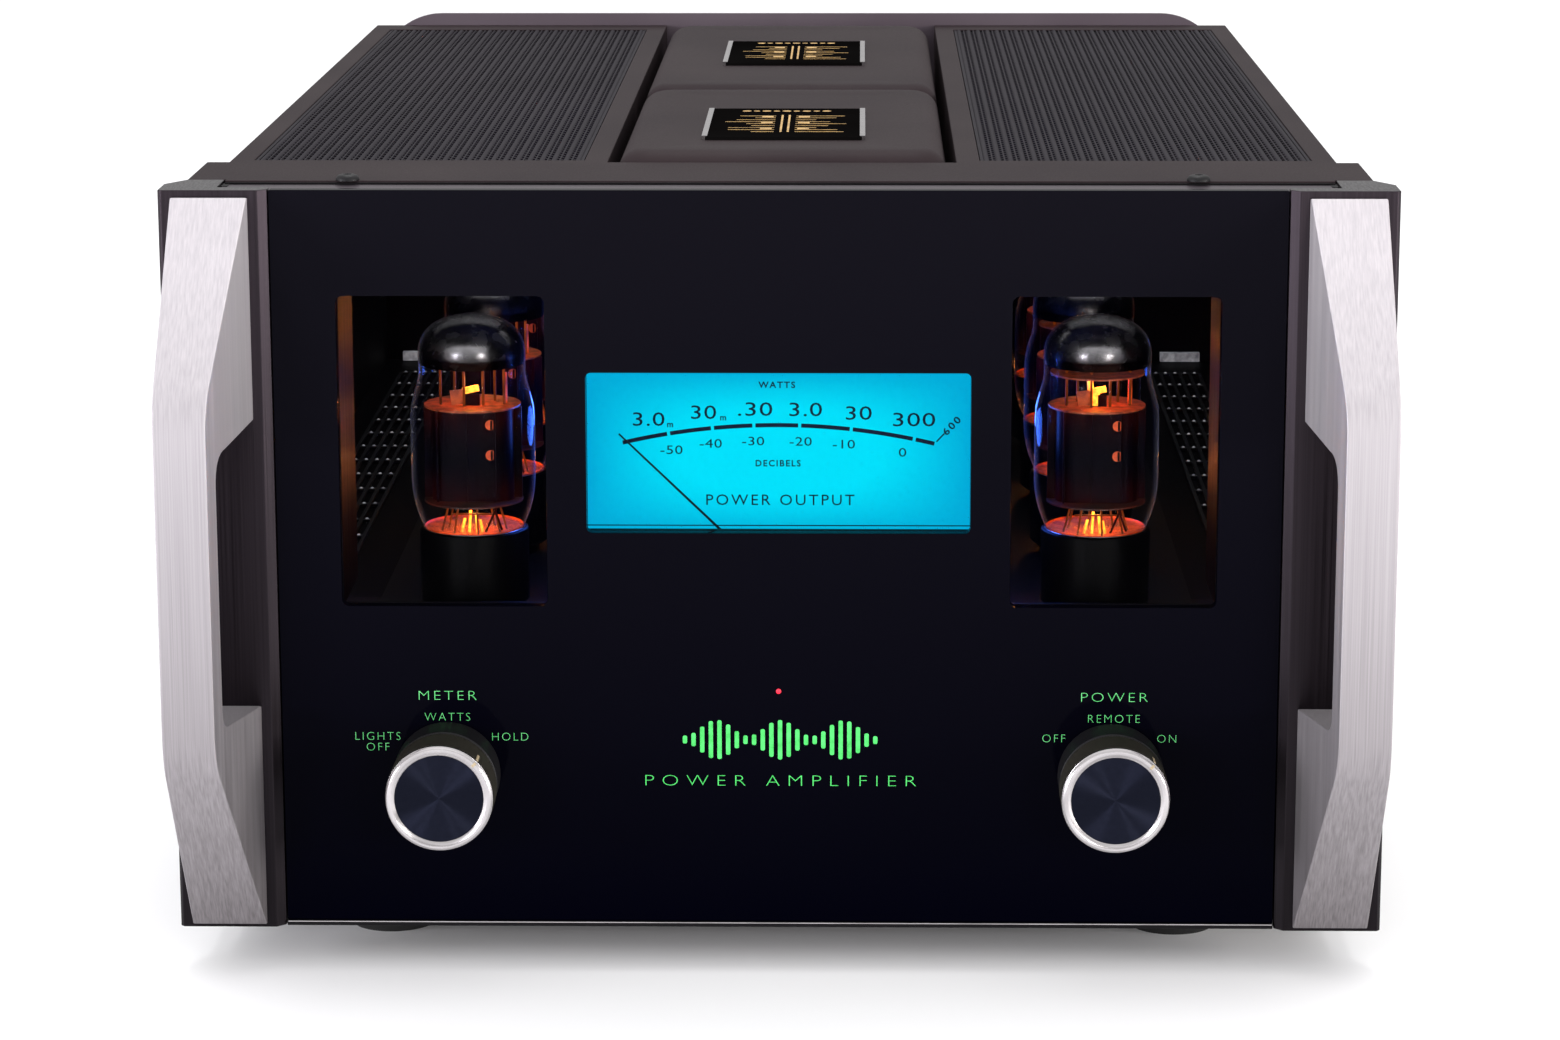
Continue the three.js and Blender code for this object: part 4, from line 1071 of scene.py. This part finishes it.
def make_valve_meshes(tall):
    """The glass, works and base of a power valve."""
    bulb = Piece("power_valve_bulb")
    bulb.lathe([(0, BULB_FOOT), *bulb_profile()], AXIS, "z", "bulb", 64)
    works = Piece("power_valve_works")
    make_getter(works)
    make_bowl(works)
    make_anode(works)
    make_crown(works, tall)
    base = Piece("power_valve_base")
    seat = box_mm("power_valve_left_1")[0].z
    cup = [(0, seat), (18.6, seat), (20.2, seat + 1.5), (20.4, 139.2), (20.1, 140.5), (19.4, 141),
           (18.7, 140.9), (18.5, 138.3), (0, 138.3)]
    base.lathe(cup, AXIS, "z", "bakelite", 64)
    lip = [(18.75, 140.9), (19.0, 141.05), (18.85, 141.2), (18.75, 140.9)]
    base.lathe(lip, AXIS, "z", "steel", 64)
    return bulb, works, base


def make_driver_meshes():
    """The glass and works of a driver valve."""
    seat = box_mm("driver_valve_left_1")[0].z
    radius, neck = 11, seat + 42
    bulb = Piece("driver_valve_bulb")
    outline = [(0, seat), (9.5, seat), (radius, seat + 2.5), (radius, neck)]
    outline += [(radius * math.cos(t), neck + 8 * math.sin(t))
                for t in (math.pi / 2 * i / 6 for i in range(1, 6))]
    outline += [(1.6, seat + 50.2), (0.8, seat + 54), (0, seat + 55.5)]
    bulb.lathe(outline, AXIS, "z", "bulb", 40)
    works = Piece("driver_valve_works")
    for x in (-3.6, 3.6):
        works.lathe(drum(3, seat + 10, seat + 32), (x, 0), "z", "anode", 24)
    for height in (seat + 9, seat + 33):
        works.lathe(drum(9.4, height, height + MICA), AXIS, "z", "mica", 24)
    # A glowing cone at the driver's foot: painted heater light.
    heater = [(0, seat + 1), (8, seat + 1), (7, seat + 3), (0, seat + 6)]
    works.lathe(heater, AXIS, "z", "painted_heater_glow", 24)
    return bulb, works


def stand_copies(meshes, names, node, x, y, slots):
    """Places objects that share the given meshes on a valve's axis, in place of its CAD node."""
    for mesh, name, slot in zip(meshes, names, slots):
        piece = new_object(f"{node}_{name}", mesh)
        piece.location = (x * MM, y * MM, 0)
        settle(piece, stands_for=[node] if name == "bulb" else ())


def valve_light(x, y, z, colour, energy, radius):
    data = bpy.data.lights.new("valve_glow", "POINT")
    data.energy, data.color, data.shadow_soft_size = energy, colour, radius
    new_object("valve_glow", data).location = place(x, y, z)


def smooth_meshes(pieces):
    meshes = [piece.mesh() for piece in pieces]
    for mesh in meshes:
        mesh.shade_smooth()
        mesh.set_sharp_from_angle(angle=math.radians(40))
    return meshes


def make_valves():
    driver = smooth_meshes(make_driver_meshes())
    for word, side in SIDES:
        power = smooth_meshes(make_valve_meshes(tall=side > 0))
        for kind, count, meshes in (("power", 4, power), ("driver", 2, driver)):
            for number in range(1, count + 1):
                node = f"{kind}_valve_{word}_{number}"
                x, y, _ = centre_mm(node)
                stand_copies(meshes, ("bulb", "works", "base"), node, x, y,
                             ("valve_glass", "valve_glass", "black_plastic"))
                if kind == "power":
                    valve_light(x, y - 4, 148, HEAT, 0.03, 0.004)
                    valve_light(x, y - 5, 196, HEAT, 0.02, 0.003)
        for y in (60, 110):
            valve_light(side * 72, y, 176, METER_BLUE, 0.12, 0.01)
        dress(f"valve_socket_board_{word}", "dark")


# ---- Inside, behind and below ----


def make_inside():
    dress("driver_circuit_board", "board")
    dress("reservoir_capacitors", "black", 0.5)


def make_terminal_nut(number):
    node = f"speaker_terminal_nut_{number}"
    low, high = box_mm(node)
    x, _, z = centre_mm(node)
    bore, radius = 4.4, (high.x - low.x) / 2 - 0.3
    nut = Piece(f"terminal_nut_{number}_knurled")
    profile = [(bore, low.y), (radius - 0.8, low.y), (radius, low.y + 0.8), (radius, low.y + 6),
               (radius, high.y - 3), (radius - 0.7, high.y - 2.2), (radius - 1.2, high.y - 1.9),
               (radius - 1.2, high.y - 1.3), (radius - 0.4, high.y - 0.9), (radius - 1, high.y),
               (bore, high.y), (bore, low.y)]
    grip = (2, 3, 4)
    nut.lathe(profile, (x, z), "y", "gold", 72, lambda row, i: 0.28 if row in grip and i % 2 else 0)
    nut.done(f"terminal_nut_{number}", [node], angle=40)


def make_rear_screws(face, top):
    screws = Piece("rear_screws")
    for _, side in SIDES:
        for x, z in ((200, 10), (200, 95), (200, 180), (150, top - 10), (90, top - 10),
                     (30, top - 10), (70, 10)):
            make_screw(screws, side * x, face, z, 3.2, "rear", "steel", 1.5)
    low, high = box_mm("mains_inlet")
    for x in (low.x + 5, high.x - 5):
        make_screw(screws, x, high.y, centre_mm("mains_inlet")[2], 2.4, "rear", "steel", 1.1)
    screws.done(angle=50)


def make_inlet_pins():
    rear = box_mm("mains_inlet")[1].y
    x, _, z = centre_mm("mains_inlet")
    pins = Piece("mains_inlet_pins")
    for dx, dz in ((-7, -1.5), (0, 2), (7, -1.5)):
        pins.box((x + dx - 1, x + dx + 1), (rear - 17.6, rear - 4), (z + dz - 2, z + dz + 2), "steel")
    pins.done(bevel=0.2)


def make_rear():
    for number in range(1, 5):
        make_terminal_nut(number)
    dress("speaker_terminal_block", "black", 0.5)
    dress("mains_inlet", "black", 0.4)
    dress("balanced_input", "steel", 0.25)
    dress("unbalanced_input", "gold", 0.2)
    _, high = box_mm("rear_panel")
    make_rear_screws(high.y, high.z)
    make_inlet_pins()
    numbers = Piece("rear_labels")
    for number, words in zip(range(1, 5), ("0", "2", "4", "8")):
        x = centre_mm(f"speaker_terminal_nut_{number}")[0]
        numbers.text(words, 5, (x, high.y + INK, 88), "rear", "gilt")
    numbers.done()


def make_feet():
    for word, _ in SIDES:
        for end in ("front", "rear"):
            node = f"foot_{end}_{word}"
            low, high = box_mm(node)
            radius = (high.x - low.x) / 2
            profile = [(4, low.z + 6), (5.5, low.z + 5), (6.5, low.z), (radius - 3.4, low.z),
                       (radius - 2.2, low.z + 1.2), (radius - 1.7, low.z + 5),
                       (radius - 2.0, low.z + 6), (radius - 1.6, low.z + 7), (radius, high.z),
                       (0, high.z), (0, low.z + 6), (4, low.z + 6)]
            foot = Piece(f"{node}_moulded")
            foot.lathe(profile, centre_mm(node)[:2], "z", "rubber", 56)
            foot.done(stands_for=[node], angle=40)


# ---- Studio ----

# Solved from the photo's straight edges: place in panel millimetres, angles in degrees.
CAMERA = {"place": (29.6, -1523.1, 487.2), "pitch": 12.39, "yaw": 1.09, "roll": 0.1, "lens": 99.0}
SENSOR = 36.0
STUDIO = {"horizon": 0.40, "zenith": 1.5, "floor": 40.0}
WHITE, WARM, COOL = (1, 1, 1), (1.0, 0.97, 0.94), (0.95, 0.94, 1.0)
# Name, place in metres, size, watts and colour.
LAMPS = (
    ("overhead", (0, 0.55, 2.4), (0.9, 0.6), 20, WHITE),
    ("front_left", (-1.5, -2.6, 0.62), (0.6, 0.6), 20, COOL),
    ("front_right", (1.15, -2.8, 0.68), (0.6, 0.6), 20, WARM),
    ("side_left", (-2.2, -1.1, 0.5), (0.8, 0.5), 37, COOL),
    ("side_right", (2.2, -1.1, 0.5), (0.8, 0.5), 40, WARM),
)


def area_light(name, location, target, size, energy, colour):
    data = bpy.data.lights.new(name, "AREA")
    data.shape, data.size, data.size_y = "RECTANGLE", *size
    data.energy, data.color = energy, colour
    light = new_object(name, data)
    light.location = location
    light.rotation_mode = "QUATERNION"
    light.rotation_quaternion = (Vector(target) - Vector(location)).to_track_quat("-Z", "Y")


def make_camera():
    data = bpy.data.cameras.new("camera")
    data.lens, data.sensor_width, data.clip_end = CAMERA["lens"], SENSOR, 100
    camera = new_object("camera", data)
    pitch, yaw = math.radians(CAMERA["pitch"]), math.radians(CAMERA["yaw"])
    forward = Vector((-math.sin(yaw) * math.cos(pitch), math.cos(yaw) * math.cos(pitch), -math.sin(pitch)))
    camera.location = place(*CAMERA["place"])
    camera.rotation_mode = "QUATERNION"
    roll = Matrix.Rotation(math.radians(CAMERA["roll"]), 4, forward).to_quaternion()
    camera.rotation_quaternion = roll @ forward.to_track_quat("-Z", "Y")
    bpy.context.scene.camera = camera


def make_sky():
    """A studio that is brightest overhead and softly grey at eye level."""
    world = bpy.data.worlds.new("studio")
    world.use_nodes = True
    tree = world.node_tree
    height = tree.nodes.new("ShaderNodeSeparateXYZ")
    grade = tree.nodes.new("ShaderNodeMapRange")
    grade.inputs["To Min"].default_value = STUDIO["horizon"]
    grade.inputs["To Max"].default_value = STUDIO["zenith"]
    tree.links.new(tree.nodes.new("ShaderNodeTexCoord").outputs["Generated"], height.inputs[0])
    tree.links.new(height.outputs["Z"], grade.inputs["Value"])
    tree.links.new(grade.outputs[0], tree.nodes["Background"].inputs["Strength"])
    tree.nodes["Background"].inputs["Color"].default_value = (1, 1, 1, 1)
    bpy.context.scene.world = world


def make_studio():
    make_sky()
    bpy.context.scene.view_settings.view_transform = "Standard"
    bpy.context.scene.cycles.transparent_max_bounces = 24
    middle = (CAD_LOW + CAD_HIGH) / 2
    for name, location, size, energy, colour in LAMPS:
        area_light(name, location, middle, size, energy, colour)
    floor, reach = bpy.data.meshes.new("floor"), STUDIO["floor"]
    corners = [(-reach, -reach, 0), (reach, -reach, 0), (reach, reach, 0), (-reach, reach, 0)]
    floor.from_pydata(corners, [], [(0, 1, 2, 3)])
    floor.materials.append(floor_paper())
    new_object("floor", floor)


make_camera()
make_studio()
make_glass()
make_labels()
make_front_trim()
make_meter()
make_knob("meter", -1)
make_knob("power", 1)
make_chassis()
make_valves()
make_inside()
make_rear()
make_feet()
